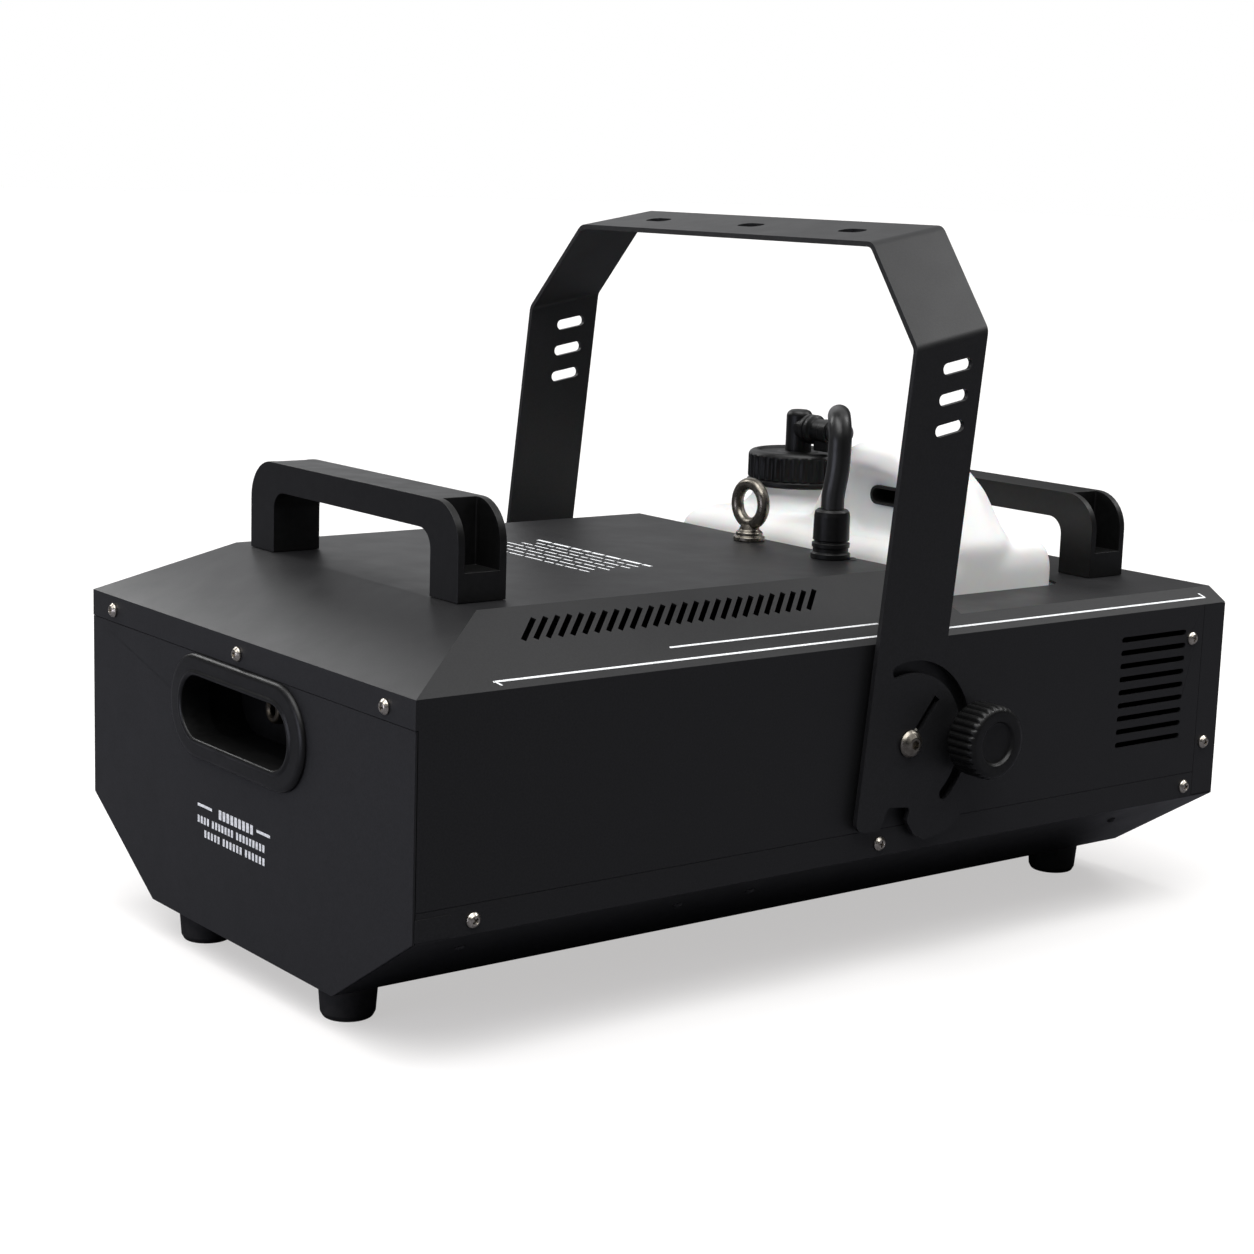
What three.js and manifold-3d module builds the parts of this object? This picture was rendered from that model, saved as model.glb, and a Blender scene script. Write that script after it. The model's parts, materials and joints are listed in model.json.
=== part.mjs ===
// Fog machine with a folded sheet-metal body, a tilting hanging bracket and a lift-out fluid tank.
// Millimetres. X is the width, Y the length with the nozzle towards -Y, +Z up, the floor at z = 0.
import * as THREE from 'three';
import { mergeVertices } from 'three/addons/utils/BufferGeometryUtils.js';
import Module from 'manifold-3d';

const wasm = await Module();
wasm.setup();

// ---------- driving dimensions ----------
const LENGTH = 610, WIDTH = 360, HALF_W = WIDTH / 2, HALF_L = LENGTH / 2;
const SHEET = 1.5;              // body sheet
const GAP = 0.3;                // clearance between touching pieces
const Z_BOTTOM = 21;            // underside of the body, which is the height of the feet
const Z_BELLY = Z_BOTTOM + 49;  // top of the lower chamfer
const Z_SEAM = Z_BOTTOM + 65;   // joint of bottom pan and top cover
const Z_LIP = Z_BOTTOM + 158.5; // lower edge of the cover's front lip
const Z_SHOULDER = Z_BOTTOM + 174;
const Z_DECK = Z_BOTTOM + 182.5;
const Z_TOP = Z_BOTTOM + 205;
const BELLY_IN = 77;            // how far the lower chamfer runs in
const TOP_HALF = 129;           // half width of the top plateau
const TOP_FRONT = -236, TOP_REAR = 70, DECK_FRONT = 82;

const BEZEL = { w: 150, h: 60, z: Z_BOTTOM + 128, holeW: 120, holeH: 36, out: 4 };
const NOZZLE = { z: Z_BOTTOM + 132, front: -284 };

const PIVOT = { y: 26, z: Z_BOTTOM + 115 };
const CLAMP_RADIUS = 44.5;      // clamp stud's distance from the pivot
const BRACKET = {
  inner: HALF_W + 3, sheet: 3, width: 55.6, lean: 6, sweep: 16, offset: -7.3,
  low: 233, top: 289.5, topHalf: 139,
};

const TANK = { x: 113, y0: 86, y1: 222, floor: 84, shoulder: Z_BOTTOM + 213, corner: 14, wall: 2 };
const CAP = { x: -61.5, y: 150.5, z: Z_BOTTOM + 229, r: 33.5, h: 23 };
const HUMP = { y0: 118, y1: 186, top: Z_BOTTOM + 265 };
const GRIP = { x: 59.7, z: Z_BOTTOM + 236.6, w: 34, h: 12.5 };
const COUPLER = { x: 78.6, y: 56, r: 11, h: 30 };
const HOSE_R = 7;
const ELBOW_Z = Z_BOTTOM + 267, ELBOW_TOP = Z_BOTTOM + 279, ELBOW_OUT = 34;

const HANDLE = { length: 222, foot: 27, depth: 31, height: 53, bar: 17, wall: 4.4, floor: 16 };
const FRONT_HANDLE_Y = -220.5, REAR_HANDLE_Y = 268.3;
const FEET = [[-80, -281], [80, -281], [-80, 269], [80, 269]];
const EYE_Y = 58;
const LIP_SCREWS_X = [-152, 0, 152];

// ---------- geometry helpers ----------
const { PI, sin, cos, atan2, hypot } = Math;
const rad = (deg) => deg * PI / 180;
const X = new THREE.Vector3(1, 0, 0), Y = new THREE.Vector3(0, 1, 0), Z = new THREE.Vector3(0, 0, 1);

function weld(geometry) {
  const plain = geometry.clone();
  plain.deleteAttribute('normal');
  plain.deleteAttribute('uv');
  const merged = mergeVertices(plain, 1e-4);
  const index = merged.index.array, kept = [];
  for (let i = 0; i < index.length; i += 3) {
    const [a, b, c] = [index[i], index[i + 1], index[i + 2]];
    if (a !== b && b !== c && c !== a) kept.push(a, b, c);
  }
  merged.setIndex(kept);
  return merged;
}

function solid(geometry) {
  const g = weld(geometry);
  return new wasm.Manifold(new wasm.Mesh({
    numProp: 3,
    vertProperties: new Float32Array(g.attributes.position.array),
    triVerts: new Uint32Array(g.index.array),
  }));
}

function toGeometry(manifold) {
  const mesh = manifold.getMesh();
  const g = new THREE.BufferGeometry();
  g.setAttribute('position', new THREE.BufferAttribute(mesh.vertProperties, 3));
  g.setIndex(new THREE.BufferAttribute(mesh.triVerts, 1));
  const flat = g.toNonIndexed();
  flat.computeVertexNormals();
  return flat;
}

const union = (...parts) => parts.reduce((a, b) => a.add(b));
const cut = (body, ...tools) => tools.reduce((a, b) => a.subtract(b), body);

function shapeOf(points, holes = []) {
  const shape = new THREE.Shape(points.map(([a, b]) => new THREE.Vector2(a, b)));
  for (const hole of holes) {
    shape.holes.push(new THREE.Path(hole.map(([a, b]) => new THREE.Vector2(a, b))));
  }
  return shape;
}

// Extrudes an outline drawn in two axes (u, v) along the third, from `from` to `to`.
function prism(points, basis, from, to, holes) {
  const g = new THREE.ExtrudeGeometry(shapeOf(points, holes), { depth: to - from, bevelEnabled: false });
  g.translate(0, 0, from);
  g.applyMatrix4(new THREE.Matrix4().makeBasis(...basis));
  return solid(g);
}
const prismX = (yz, x0, x1, holes) => prism(yz, [Y, Z, X], x0, x1, holes);
const prismY = (xz, y0, y1, holes) => prism(xz, [X, Z, Y.clone().negate()], -y1, -y0, holes);
const prismZ = (xy, z0, z1, holes) => prism(xy, [X, Y, Z], z0, z1, holes);

function box(x0, x1, y0, y1, z0, z1) {
  return prismZ([[x0, y0], [x1, y0], [x1, y1], [x0, y1]], z0, z1);
}

// A rod between two points given as arrays; r2 makes it a cone.
function rod(a, b, r, sides = 16, r2 = r) {
  const from = new THREE.Vector3(...a), to = new THREE.Vector3(...b);
  const g = new THREE.CylinderGeometry(r2, r, from.distanceTo(to), sides);
  g.applyQuaternion(new THREE.Quaternion().setFromUnitVectors(Y, to.clone().sub(from).normalize()));
  g.translate(...from.add(to).multiplyScalar(0.5).toArray());
  return solid(g);
}

// Turns a closed (radius, height) profile round an axis through `at`.
function turned(profile, at, axis = 'z', sides = 24) {
  const g = new THREE.LatheGeometry(profile.map(([r, h]) => new THREE.Vector2(r, h)), sides);
  if (axis === 'z') g.rotateX(PI / 2);
  if (axis === 'x') g.rotateZ(-PI / 2);
  g.translate(...at);
  return solid(g);
}

// Rounds the corners of a polygon; each point is [u, v, radius].
function rounded(points, steps = 3) {
  const out = [];
  points.forEach(([u, v, r = 0], i) => {
    const [pu, pv] = points[(i + points.length - 1) % points.length];
    const [nu, nv] = points[(i + 1) % points.length];
    if (!r) {
      out.push([u, v]);
      return;
    }
    const a = new THREE.Vector2(pu - u, pv - v).normalize();
    const b = new THREE.Vector2(nu - u, nv - v).normalize();
    const half = a.angleTo(b) / 2;
    const reach = r / Math.tan(half);
    const mid = a.clone().add(b).normalize().multiplyScalar(r / sin(half));
    const centre = new THREE.Vector2(u, v).add(mid);
    const start = new THREE.Vector2(u, v).addScaledVector(a, reach).sub(centre);
    const end = new THREE.Vector2(u, v).addScaledVector(b, reach).sub(centre);
    const turn = atan2(start.cross(end), start.dot(end));
    for (let k = 0; k <= steps; k++) {
      const p = start.clone().rotateAround(new THREE.Vector2(), turn * k / steps).add(centre);
      out.push([p.x, p.y]);
    }
  });
  return out;
}

function roundedRect(cu, cv, w, h, r, steps = 4) {
  const [a, b] = [w / 2, h / 2];
  return rounded([[cu - a, cv - b, r], [cu + a, cv - b, r], [cu + a, cv + b, r], [cu - a, cv + b, r]], steps);
}

const arc = (cu, cv, r, from, to, steps) => Array.from({ length: steps + 1 }, (_, k) => {
  const t = rad(from + (to - from) * k / steps);
  return [cu + r * cos(t), cv + r * sin(t)];
});

// Skins rings of equal point count, each an array of [x, y, z], and closes both ends.
function loft(rings) {
  const n = rings[0].length, position = rings.flat(2), index = [];
  for (let k = 0; k + 1 < rings.length; k++) {
    for (let i = 0; i < n; i++) {
      const a = k * n + i, b = k * n + (i + 1) % n;
      index.push(a, b, b + n, a, b + n, a + n);
    }
  }
  const cap = (ring, base, flip) => {
    const centre = position.length / 3;
    position.push(...[0, 1, 2].map((c) => ring.reduce((s, p) => s + p[c], 0) / n));
    for (let i = 0; i < n; i++) {
      const a = base + i, b = base + (i + 1) % n;
      index.push(...(flip ? [centre, b, a] : [centre, a, b]));
    }
  };
  cap(rings[0], 0, true);
  cap(rings[rings.length - 1], (rings.length - 1) * n, false);
  const g = new THREE.BufferGeometry();
  g.setAttribute('position', new THREE.Float32BufferAttribute(position, 3));
  g.setIndex(index);
  return solid(g);
}

// A round tube or rod along a smooth curve through the points.
function pipe(points, r, steps, sides = 10, bore = 0) {
  const curve = new THREE.CatmullRomCurve3(points.map((p) => new THREE.Vector3(...p)), false, 'centripetal');
  const circle = (radius) => arc(0, 0, radius, 0, 360 - 360 / sides, sides - 1);
  const shape = shapeOf(circle(r), bore ? [circle(bore).reverse()] : []);
  return solid(new THREE.ExtrudeGeometry(shape, { steps, extrudePath: curve, bevelEnabled: false }));
}

// ---------- materials ----------
const material = (color, roughness, metalness) =>
  new THREE.MeshStandardMaterial({ color, roughness, metalness });
const POWDER = material(0x1b1b1c, 0.6, 0.2);
const PLASTIC = material(0x141414, 0.5, 0.0);
const RUBBER = material(0x101010, 0.85, 0.0);
const NICKEL = material(0x8d8a82, 0.35, 1.0);
const BRASS = material(0xb08d4a, 0.4, 1.0);
const ALUMINIUM = material(0xa9abad, 0.5, 1.0);
const ZINC = material(0xb5b8ba, 0.45, 0.9);
const HDPE = material(0xe9e8e2, 0.45, 0.0);
const NYLON = material(0xd9d6cc, 0.6, 0.0);
const BOARD = material(0x1f5a35, 0.6, 0.0);
const DISPLAY = material(0x10222a, 0.2, 0.0);

const machine = new THREE.Group();
machine.name = 'fog_machine';

function add(name, manifold, look) {
  const mesh = new THREE.Mesh(toGeometry(manifold), look);
  mesh.name = name;
  machine.add(mesh);
}

// ---------- body shells ----------
// The body's cross-section above `low`, drawn `t` inside the outer skin.
function sectionAbove(low, t) {
  const slope = atan2(Z_TOP - Z_SHOULDER, HALF_W - TOP_HALF);
  const zs = Z_SHOULDER - t * Math.tan(slope / 2), xt = TOP_HALF - t * Math.tan(slope / 2);
  return [[-HALF_W + t, low], [HALF_W - t, low], [HALF_W - t, zs], [xt, Z_TOP - t],
    [-xt, Z_TOP - t], [-HALF_W + t, zs]];
}

function sideProfile(low, t, front, rear) {
  const slope = atan2(Z_TOP - Z_SHOULDER, TOP_FRONT + HALF_L);
  const drop = atan2(Z_TOP - Z_DECK, DECK_FRONT - TOP_REAR);
  const a = t * Math.tan(slope / 2), b = t * Math.tan(drop / 2);
  return [[front, low], [rear, low], [rear, Z_DECK - t], [DECK_FRONT - b, Z_DECK - t],
    [TOP_REAR - b, Z_TOP - t], [TOP_FRONT + a, Z_TOP - t], [front, Z_SHOULDER - a]];
}

const lowerSection = (t, top) => [[-HALF_W + t, top], [-HALF_W + t, Z_BELLY + t * 0.3],
  [-HALF_W + BELLY_IN + t * 0.3, Z_BOTTOM + t], [HALF_W - BELLY_IN - t * 0.3, Z_BOTTOM + t],
  [HALF_W - t, Z_BELLY + t * 0.3], [HALF_W - t, top]];

const SLOTS = { count: 26, y0: -213.5, y1: -17, width: 3, length: 22 };
function slopeSlots(side) {
  const up = new THREE.Vector3(-side * (HALF_W - TOP_HALF), 0, Z_TOP - Z_SHOULDER).normalize();
  const normal = new THREE.Vector3(side * up.z, 0, side * -up.x);
  const along = up.clone().add(Y).normalize();
  const across = normal.clone().cross(along);
  const out = [];
  for (let k = 0; k < SLOTS.count; k++) {
    const y = SLOTS.y0 + (SLOTS.y1 - SLOTS.y0) * k / (SLOTS.count - 1);
    const g = new THREE.BoxGeometry(SLOTS.length, SLOTS.width, 12);
    g.applyMatrix4(new THREE.Matrix4().makeBasis(along, across, along.clone().cross(across)));
    g.translate(side * 144.5, y, Z_SHOULDER + 21.6);
    out.push(solid(g));
  }
  return out;
}

const VENTS = { count: 9, y: 239, length: 60, z0: Z_BOTTOM + 91, z1: Z_BOTTOM + 157.5, width: 3.6 };
function sideVents(side) {
  const out = [];
  for (let k = 0; k < VENTS.count; k++) {
    const z = VENTS.z0 + (VENTS.z1 - VENTS.z0) * k / (VENTS.count - 1);
    const outline = roundedRect(VENTS.y, z, VENTS.length, VENTS.width, VENTS.width / 2 - 0.01, 3);
    out.push(prismX(outline, side * HALF_W - 5, side * HALF_W + 5));
  }
  return out;
}

const WELL = { x: TANK.x + 4, y0: TANK.y0 - 2.5, y1: TANK.y1 + 4, r: 17 };
const wellOutline = (grow) => roundedRect(0, (WELL.y0 + WELL.y1) / 2, 2 * (WELL.x + grow),
  WELL.y1 - WELL.y0 + 2 * grow, WELL.r + grow, 4);
const REAR_FLANGE = 285;

function topCover() {
  const outer = prismY(sectionAbove(Z_SEAM + GAP, 0), -HALF_L, HALF_L)
    .intersect(prismX(sideProfile(Z_SEAM, 0, -HALF_L, HALF_L), -HALF_W, HALF_W));
  const inner = prismY(sectionAbove(0, SHEET), -HALF_L - 1, HALF_L + 1)
    .intersect(prismX(sideProfile(0, SHEET, -HALF_L + SHEET, HALF_L + 1), -HALF_W, HALF_W));
  const holes = [
    box(-HALF_W - 1, HALF_W + 1, -HALF_L - 1, -HALF_L + SHEET + GAP, 0, Z_LIP),
    box(-HALF_W - 1, HALF_W + 1, REAR_FLANGE, HALF_L + 1, 0, Z_SHOULDER),
    prismZ(wellOutline(0), Z_DECK - 10, Z_DECK + 10),
    rod([COUPLER.x, COUPLER.y, Z_TOP - 5], [COUPLER.x, COUPLER.y, Z_TOP + 5], 6.5),
    rod([0, EYE_Y, Z_TOP - 5], [0, EYE_Y, Z_TOP + 5], 4.3, 12),
  ];
  for (const side of [-1, 1]) {
    holes.push(...slopeSlots(side), ...sideVents(side));
    holes.push(rod([side * 170, PIVOT.y, PIVOT.z], [side * 190, PIVOT.y, PIVOT.z], 4.3, 12));
    const clampY = PIVOT.y + CLAMP_RADIUS;
    holes.push(rod([side * 170, clampY, PIVOT.z], [side * 190, clampY, PIVOT.z], 3.6, 12));
  }
  return cut(outer, inner, ...holes);
}

function bottomPan() {
  const front = -HALF_L + SHEET + GAP, rear = HALF_L - SHEET - GAP;
  const outer = prismY([...lowerSection(0, Z_SEAM)].reverse(), front, rear);
  const inner = prismY([...lowerSection(SHEET, Z_SEAM + 5)].reverse(), front - 1, rear + 1);
  return cut(outer, inner, box(-HALF_W - 1, HALF_W + 1, REAR_FLANGE, HALF_L, Z_BELLY + 0.5, Z_SEAM + 1));
}

function frontPanel() {
  const outline = [...lowerSection(0, Z_LIP - GAP)].reverse();
  const plate = prismY(outline, -HALF_L, -HALF_L + SHEET);
  const hole = roundedRect(0, BEZEL.z, BEZEL.holeW + 9, BEZEL.holeH + 9, 22.4, 6);
  return cut(plate, prismY(hole, -HALF_L - 1, -HALF_L + 3));
}

const REAR = {
  inlet: [-112, 118, 28, 21], fuse: [-112, 158, 8], rocker: [-62, 118, 24, 14], display: [-8, 160, 62, 26],
  dmxIn: [56, 118, 13], dmxOut: [102, 118, 13], buttonsX: [42, 60, 78, 96], buttonsZ: 160,
};
function rearPanel() {
  const y0 = HALF_L - SHEET, t = SHEET + GAP;
  const low = prismY([...lowerSection(0, Z_SHOULDER - GAP)].reverse(), y0, HALF_L);
  const high = prismY(sectionAbove(Z_SHOULDER - 5, t), y0, HALF_L)
    .intersect(prismX(sideProfile(Z_SHOULDER - 6, t, -HALF_L, HALF_L + 1), -HALF_W, HALF_W));
  const flange = (side) => box(...(side > 0 ? [HALF_W - SHEET, HALF_W] : [-HALF_W, -HALF_W + SHEET]),
    REAR_FLANGE + GAP, HALF_L, Z_BELLY + 1, Z_SHOULDER - GAP);
  const tools = [];
  for (const [x, z, w, h] of [REAR.inlet, REAR.rocker, REAR.display]) {
    tools.push(box(x - w / 2, x + w / 2, y0 - 1, HALF_L + 1, z - h / 2, z + h / 2));
  }
  for (const [x, z, r] of [REAR.fuse, REAR.dmxIn, REAR.dmxOut]) {
    tools.push(rod([x, y0 - 1, z], [x, HALF_L + 1, z], r, 20));
  }
  for (const x of REAR.buttonsX) {
    tools.push(rod([x, y0 - 1, REAR.buttonsZ], [x, HALF_L + 1, REAR.buttonsZ], 4.4, 12));
  }
  return cut(union(low, high, flange(1), flange(-1)), ...tools);
}

function tankWell() {
  const top = Z_DECK - SHEET - GAP, floor = TANK.floor - GAP;
  const outer = prismZ(wellOutline(SHEET), floor - SHEET, top);
  const flangeOutline = [[-WELL.x - 12, DECK_FRONT + 0.5], [WELL.x + 12, DECK_FRONT + 0.5],
    [WELL.x + 12, WELL.y1 + 12], [-WELL.x - 12, WELL.y1 + 12]];
  const flange = prismZ(flangeOutline, top - SHEET, top);
  return cut(union(outer, flange), prismZ(wellOutline(0), floor, top + 1));
}

// ---------- nozzle and heater ----------
function nozzleBezel() {
  const face = -HALF_L - GAP;
  const rim = roundedRect(0, BEZEL.z, BEZEL.w, BEZEL.h, BEZEL.h / 2 - 0.1, 8);
  const throat = roundedRect(0, BEZEL.z, BEZEL.holeW + 8, BEZEL.holeH + 8, 21.9, 8);
  const flange = prismY(rim, face - BEZEL.out, face);
  const collar = prismY(throat, face - 1, -HALF_L + 14);
  const hole = prismY(roundedRect(0, BEZEL.z, BEZEL.holeW, BEZEL.holeH, BEZEL.holeH / 2 - 0.1, 8),
    face - 10, -HALF_L + 20);
  return cut(union(flange, collar), hole);
}

function nozzleShroud() {
  const y0 = -HALF_L + 14 + GAP, y1 = -HALF_L + 38;
  const outline = (grow, r) => roundedRect(0, BEZEL.z, BEZEL.holeW + grow, BEZEL.holeH + grow, r, 6);
  const outer = prismY(outline(8, 21.9), y0, y1);
  const inner = prismY(outline(5, 20.4), y0 - 1, y1 - SHEET);
  return cut(outer, inner, rod([0, y1 - 5, NOZZLE.z], [0, y1 + 5, NOZZLE.z], 7.3, 16));
}

function nozzle() {
  const back = HEATER.y0 - GAP;
  const long = back - NOZZLE.front;
  const profile = [[0, 0], [5, 0], [8.3, 3.5], [8.3, 9], [7, 9], [7, long], [0, long]];
  const body = turned(profile, [0, 0, 0], 'z', 16);
  const placed = body.rotate([-90, 0, 0]).translate([0, NOZZLE.front, NOZZLE.z]);
  return cut(placed, rod([0, NOZZLE.front - 1, NOZZLE.z], [0, NOZZLE.front + 14, NOZZLE.z], 2, 10));
}

const HEATER = { y0: -250, y1: -72, x: 56, z0: Z_BOTTOM + 66, mid: Z_BOTTOM + 118, z1: Z_BOTTOM + 168 };
function heaterHalf(z0, z1, finsUp) {
  const { x, y0, y1 } = HEATER;
  const block = box(-x, x, y0, y1, z0, z1);
  const [low, high] = finsUp ? [z1 - 8, z1 + 1] : [z0 - 1, z0 + 8];
  const grooves = [];
  for (let k = 1; k < 6; k++) {
    const y = y0 + (y1 - y0) * k / 6;
    grooves.push(box(-x - 1, x + 1, y - 4, y + 4, low, high));
  }
  return cut(block, ...grooves);
}

function heaterBracket(y) {
  const { x, z0 } = HEATER, bottom = Z_BOTTOM + SHEET + GAP, w = 9;
  const plate = [[-x - 20, bottom], [x + 20, bottom], [x + 20, bottom + 3], [x + 6, bottom + 3],
    [x + 6, z0 - GAP], [-x - 6, z0 - GAP], [-x - 6, bottom + 3], [-x - 20, bottom + 3]];
  const window = box(-x + 6, x - 6, y - w - 1, y + w + 1, bottom + 6, z0 - 12);
  return cut(prismY(plate, y - w, y + w), window);
}

// ---------- pump and fluid line ----------
const PUMP = { x: COUPLER.x, y0: -14, y1: 66, z: Z_BOTTOM + 46, r: 21 };
function pump() {
  const { x, y0, y1, z, r } = PUMP;
  const body = rod([x, y0, z], [x, y1, z], r, 24);
  const shackle = box(x - r - 3, x + r + 3, y0 + 14, y1 - 24, z - r + 2, z + r - 2);
  const inlet = rod([x, COUPLER.y, z], [x, COUPLER.y, z + r + 9], 5, 12);
  const outlet = rod([x, y0 - 8, z], [x, y0 + 2, z], 4.5, 12);
  return union(body, shackle, inlet, outlet);
}

function pumpBracket() {
  const { x, y0, y1, z, r } = PUMP, bottom = Z_BOTTOM + SHEET + GAP;
  const front = box(x - 24, x + 24, y0 + 1, y0 + 12, bottom, z - 8);
  const rear = box(x - 24, x + 24, y1 - 22, y1 - 12, bottom, z - 8);
  const base = box(x - 24, x + 24, y0 + 1, y1 - 12, bottom, bottom + 3);
  return cut(union(front, rear, base), rod([x, y0 - 5, z], [x, y1 + 5, z], r + GAP, 24));
}

function intakeTube() {
  const { x, y } = COUPLER, top = Z_TOP - 22 - GAP, low = PUMP.z + PUMP.r + 9 + GAP;
  const bow = [x - 4, y - 3, (low + top) / 2];
  return pipe([[x, y, low], [x, y, low + 20], bow, [x, y, top - 20], [x, y, top]], 4, 16, 8);
}

function outletTube() {
  const y = PUMP.y0 - 8 - GAP, end = HEATER.y1 + GAP, z = PUMP.z;
  return pipe([[PUMP.x, y, z], [PUMP.x, y - 10, z], [PUMP.x - 14, y - 24, z + 14], [40, y - 16, z + 40],
    [22, end + 16, HEATER.mid + 20], [20, end + 6, HEATER.mid + 22], [20, end, HEATER.mid + 22]], 3, 26, 8);
}

function hoseCoupler() {
  const { x, y, r, h } = COUPLER;
  const profile = [[4.2, -22], [6, -22], [6, GAP], [12, GAP], [12, 4], [11, 8], [9, 9], [r, 11], [r, h - 1],
    [r - 1, h], [4.2, h], [4.2, -22]];
  return turned(profile, [x, y, Z_TOP], 'z', 20);
}

// ---------- tank ----------
const canRing = (shrink, z) => roundedRect(0, (TANK.y0 + TANK.y1) / 2, 2 * (TANK.x - shrink),
  TANK.y1 - TANK.y0 - 2 * shrink, TANK.corner, 4).map(([x, y]) => [x, y, z]);
function canBody(inset) {
  const s = TANK.shoulder - inset, f = TANK.floor + inset;
  return loft([
    canRing(inset + 6, f), canRing(inset, f + 7), canRing(inset, s - 19), canRing(inset + 2, s - 10),
    canRing(inset + 7, s - 4), canRing(inset + 15, s - 0.8), canRing(inset + 25, s),
  ]);
}

const humpRing = (shrink, y) => rounded([
  [-26 + shrink, TANK.shoulder - 28, 4], [112.5 - shrink, TANK.shoulder - 28, 4],
  [112.5 - shrink, TANK.shoulder - 4, 14], [88 - shrink, HUMP.top - 22 - shrink, 30],
  [58 - shrink, HUMP.top - shrink, 16], [14 + shrink, HUMP.top - shrink, 12],
  [-3 + shrink, HUMP.top - 12 - shrink, 12], [-18 + shrink, TANK.shoulder + 4, 10],
], 3).map(([x, z]) => [x, y, z]);
function hump(inset) {
  const { y0, y1 } = HUMP;
  return loft([
    humpRing(12 + inset, y1 - inset), humpRing(3 + inset, y1 - 8), humpRing(inset, y1 - 22),
    humpRing(inset, y0 + 22), humpRing(3 + inset, y0 + 8), humpRing(12 + inset, y0 + inset),
  ]);
}

function fluidTank() {
  const neckTop = CAP.z + CAP.h - 4 - GAP - 1;
  const s = TANK.shoulder, at = [CAP.x, CAP.y, 0];
  const neck = turned([[0, s - 12], [38, s - 12], [34, s + 3], [29, s + 8], [27, CAP.z - 4], [27, neckTop],
    [0, neckTop]], at);
  const bore = turned([[0, s - 20], [30, s - 20], [30, s], [24, CAP.z - 5], [24, neckTop + 1],
    [0, neckTop + 1]], at);
  const outer = union(canBody(0), hump(0), neck);
  const through = (grow) => prismY(
    roundedRect(GRIP.x, GRIP.z, GRIP.w + 2 * grow, GRIP.h + 2 * grow, 6 + grow, 4), HUMP.y0 - 5, HUMP.y1 + 5);
  const inner = cut(union(canBody(TANK.wall), hump(TANK.wall)), through(TANK.wall)).add(bore);
  return cut(outer, inner, through(0));
}

function tankGrip() {
  const outline = (g) => roundedRect(GRIP.x, GRIP.z, GRIP.w - 2 * g, GRIP.h - 2 * g, 6 - g, 4);
  const [y0, y1] = [HUMP.y0 + 2, HUMP.y1 - 2];
  return cut(prismY(outline(GAP), y0, y1), prismY(outline(2), y0 - 1, y1 + 1));
}

function tankCap() {
  const { x, y, z, r, h } = CAP;
  const profile = [[9.5, h - 4], [27.4, h - 4], [27.4, 0], [r, 0], [r, h - 3], [r - 3, h], [9.5, h],
    [9.5, h - 4]];
  return turned(profile, [x, y, z], 'z', 28);
}

function capElbow() {
  const low = CAP.z + CAP.h - 8, top = ELBOW_TOP - low, out = (d) => [CAP.x + d, CAP.y, ELBOW_Z];
  const post = turned([[0, 0], [8.7, 0], [8.7, top - 4], [7.6, top - 1.4], [5, top], [0, top]],
    [CAP.x, CAP.y, low], 'z', 20);
  return union(post, rod(out(0), out(ELBOW_OUT), HOSE_R, 20), rod(out(11), out(16), 9.7, 20));
}

function dipTube() {
  return rod([CAP.x, CAP.y, TANK.floor + 32], [CAP.x, CAP.y, CAP.z + CAP.h - 8 - GAP], 4, 12);
}

function intakeFilter() {
  const profile = [[0, 0], [9, 0], [10, 2], [10, 18], [5, 22], [0, 22]];
  return turned(profile, [CAP.x, CAP.y, TANK.floor + 10 - GAP], 'z', 16);
}

// The hose leaves the elbow sideways, climbs straight towards the coupler, arches over and runs down into it.
function feedHose() {
  const { x, y, h } = COUPLER, low = Z_TOP + h + GAP, top = Z_BOTTOM + 289.2;
  const start = CAP.x + ELBOW_OUT + GAP;
  return pipe([[start, CAP.y, ELBOW_Z], [start + 8, CAP.y, ELBOW_Z], [x - 83, y + 80, top - 17.5],
    [x - 64, y + 62, top - 12], [x - 43, y + 42, top - 6], [x - 24, y + 24, top - 1.5], [x - 12, y + 13, top],
    [x - 3.5, y + 6, top - 3], [x + 0.4, y + 3.3, top - 10], [x + 1.5, y + 2.3, top - 19],
    [x + 1.7, y + 1.5, top - 30], [x, y, low + 7], [x, y, low]], HOSE_R, 46, 12);
}

// ---------- handles, eyebolt, feet ----------
// Each outer end has a channel, open outward and upward, that hides the fixing screw.
function handle(y, z) {
  const { length, foot, depth, height, bar, wall, floor } = HANDLE, a = length / 2, half = depth / 2;
  const outline = rounded([[-a, z, 0], [-a + foot, z, 0], [-a + foot, z + height - bar, 11],
    [a - foot, z + height - bar, 11], [a - foot, z, 0], [a, z, 0], [a, z + height, 23],
    [-a, z + height, 23]], 6);
  const channels = [-1, 1].map((side) => {
    const [x0, x1] = [side * (a + 1), side * (a - foot + wall)].sort((p, q) => p - q);
    return box(x0, x1, y - half + wall, y + half - wall, z + floor, z + height + 1);
  });
  return cut(prismY(outline, y - half, y + half), ...channels);
}

function eyebolt() {
  const [y, z] = [EYE_Y, Z_TOP + GAP];
  const base = turned([[0, 0], [10, 0], [10, 3], [8, 4], [8.5, 7], [6, 10], [0, 10]], [0, y, z], 'z', 20);
  const ring = solid(new THREE.TorusGeometry(12.6, 3.9, 8, 24).rotateX(PI / 2).translate(0, y, z + 23));
  const shank = rod([0, y, Z_TOP - 18], [0, y, z + 2], 4, 12);
  return union(base, ring, shank);
}

function foot([x, y]) {
  const top = Z_BOTTOM - GAP;
  return turned([[0, 0], [14, 0], [15, 1.2], [16.5, top], [0, top]], [x, y, 0], 'z', 24);
}

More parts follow.
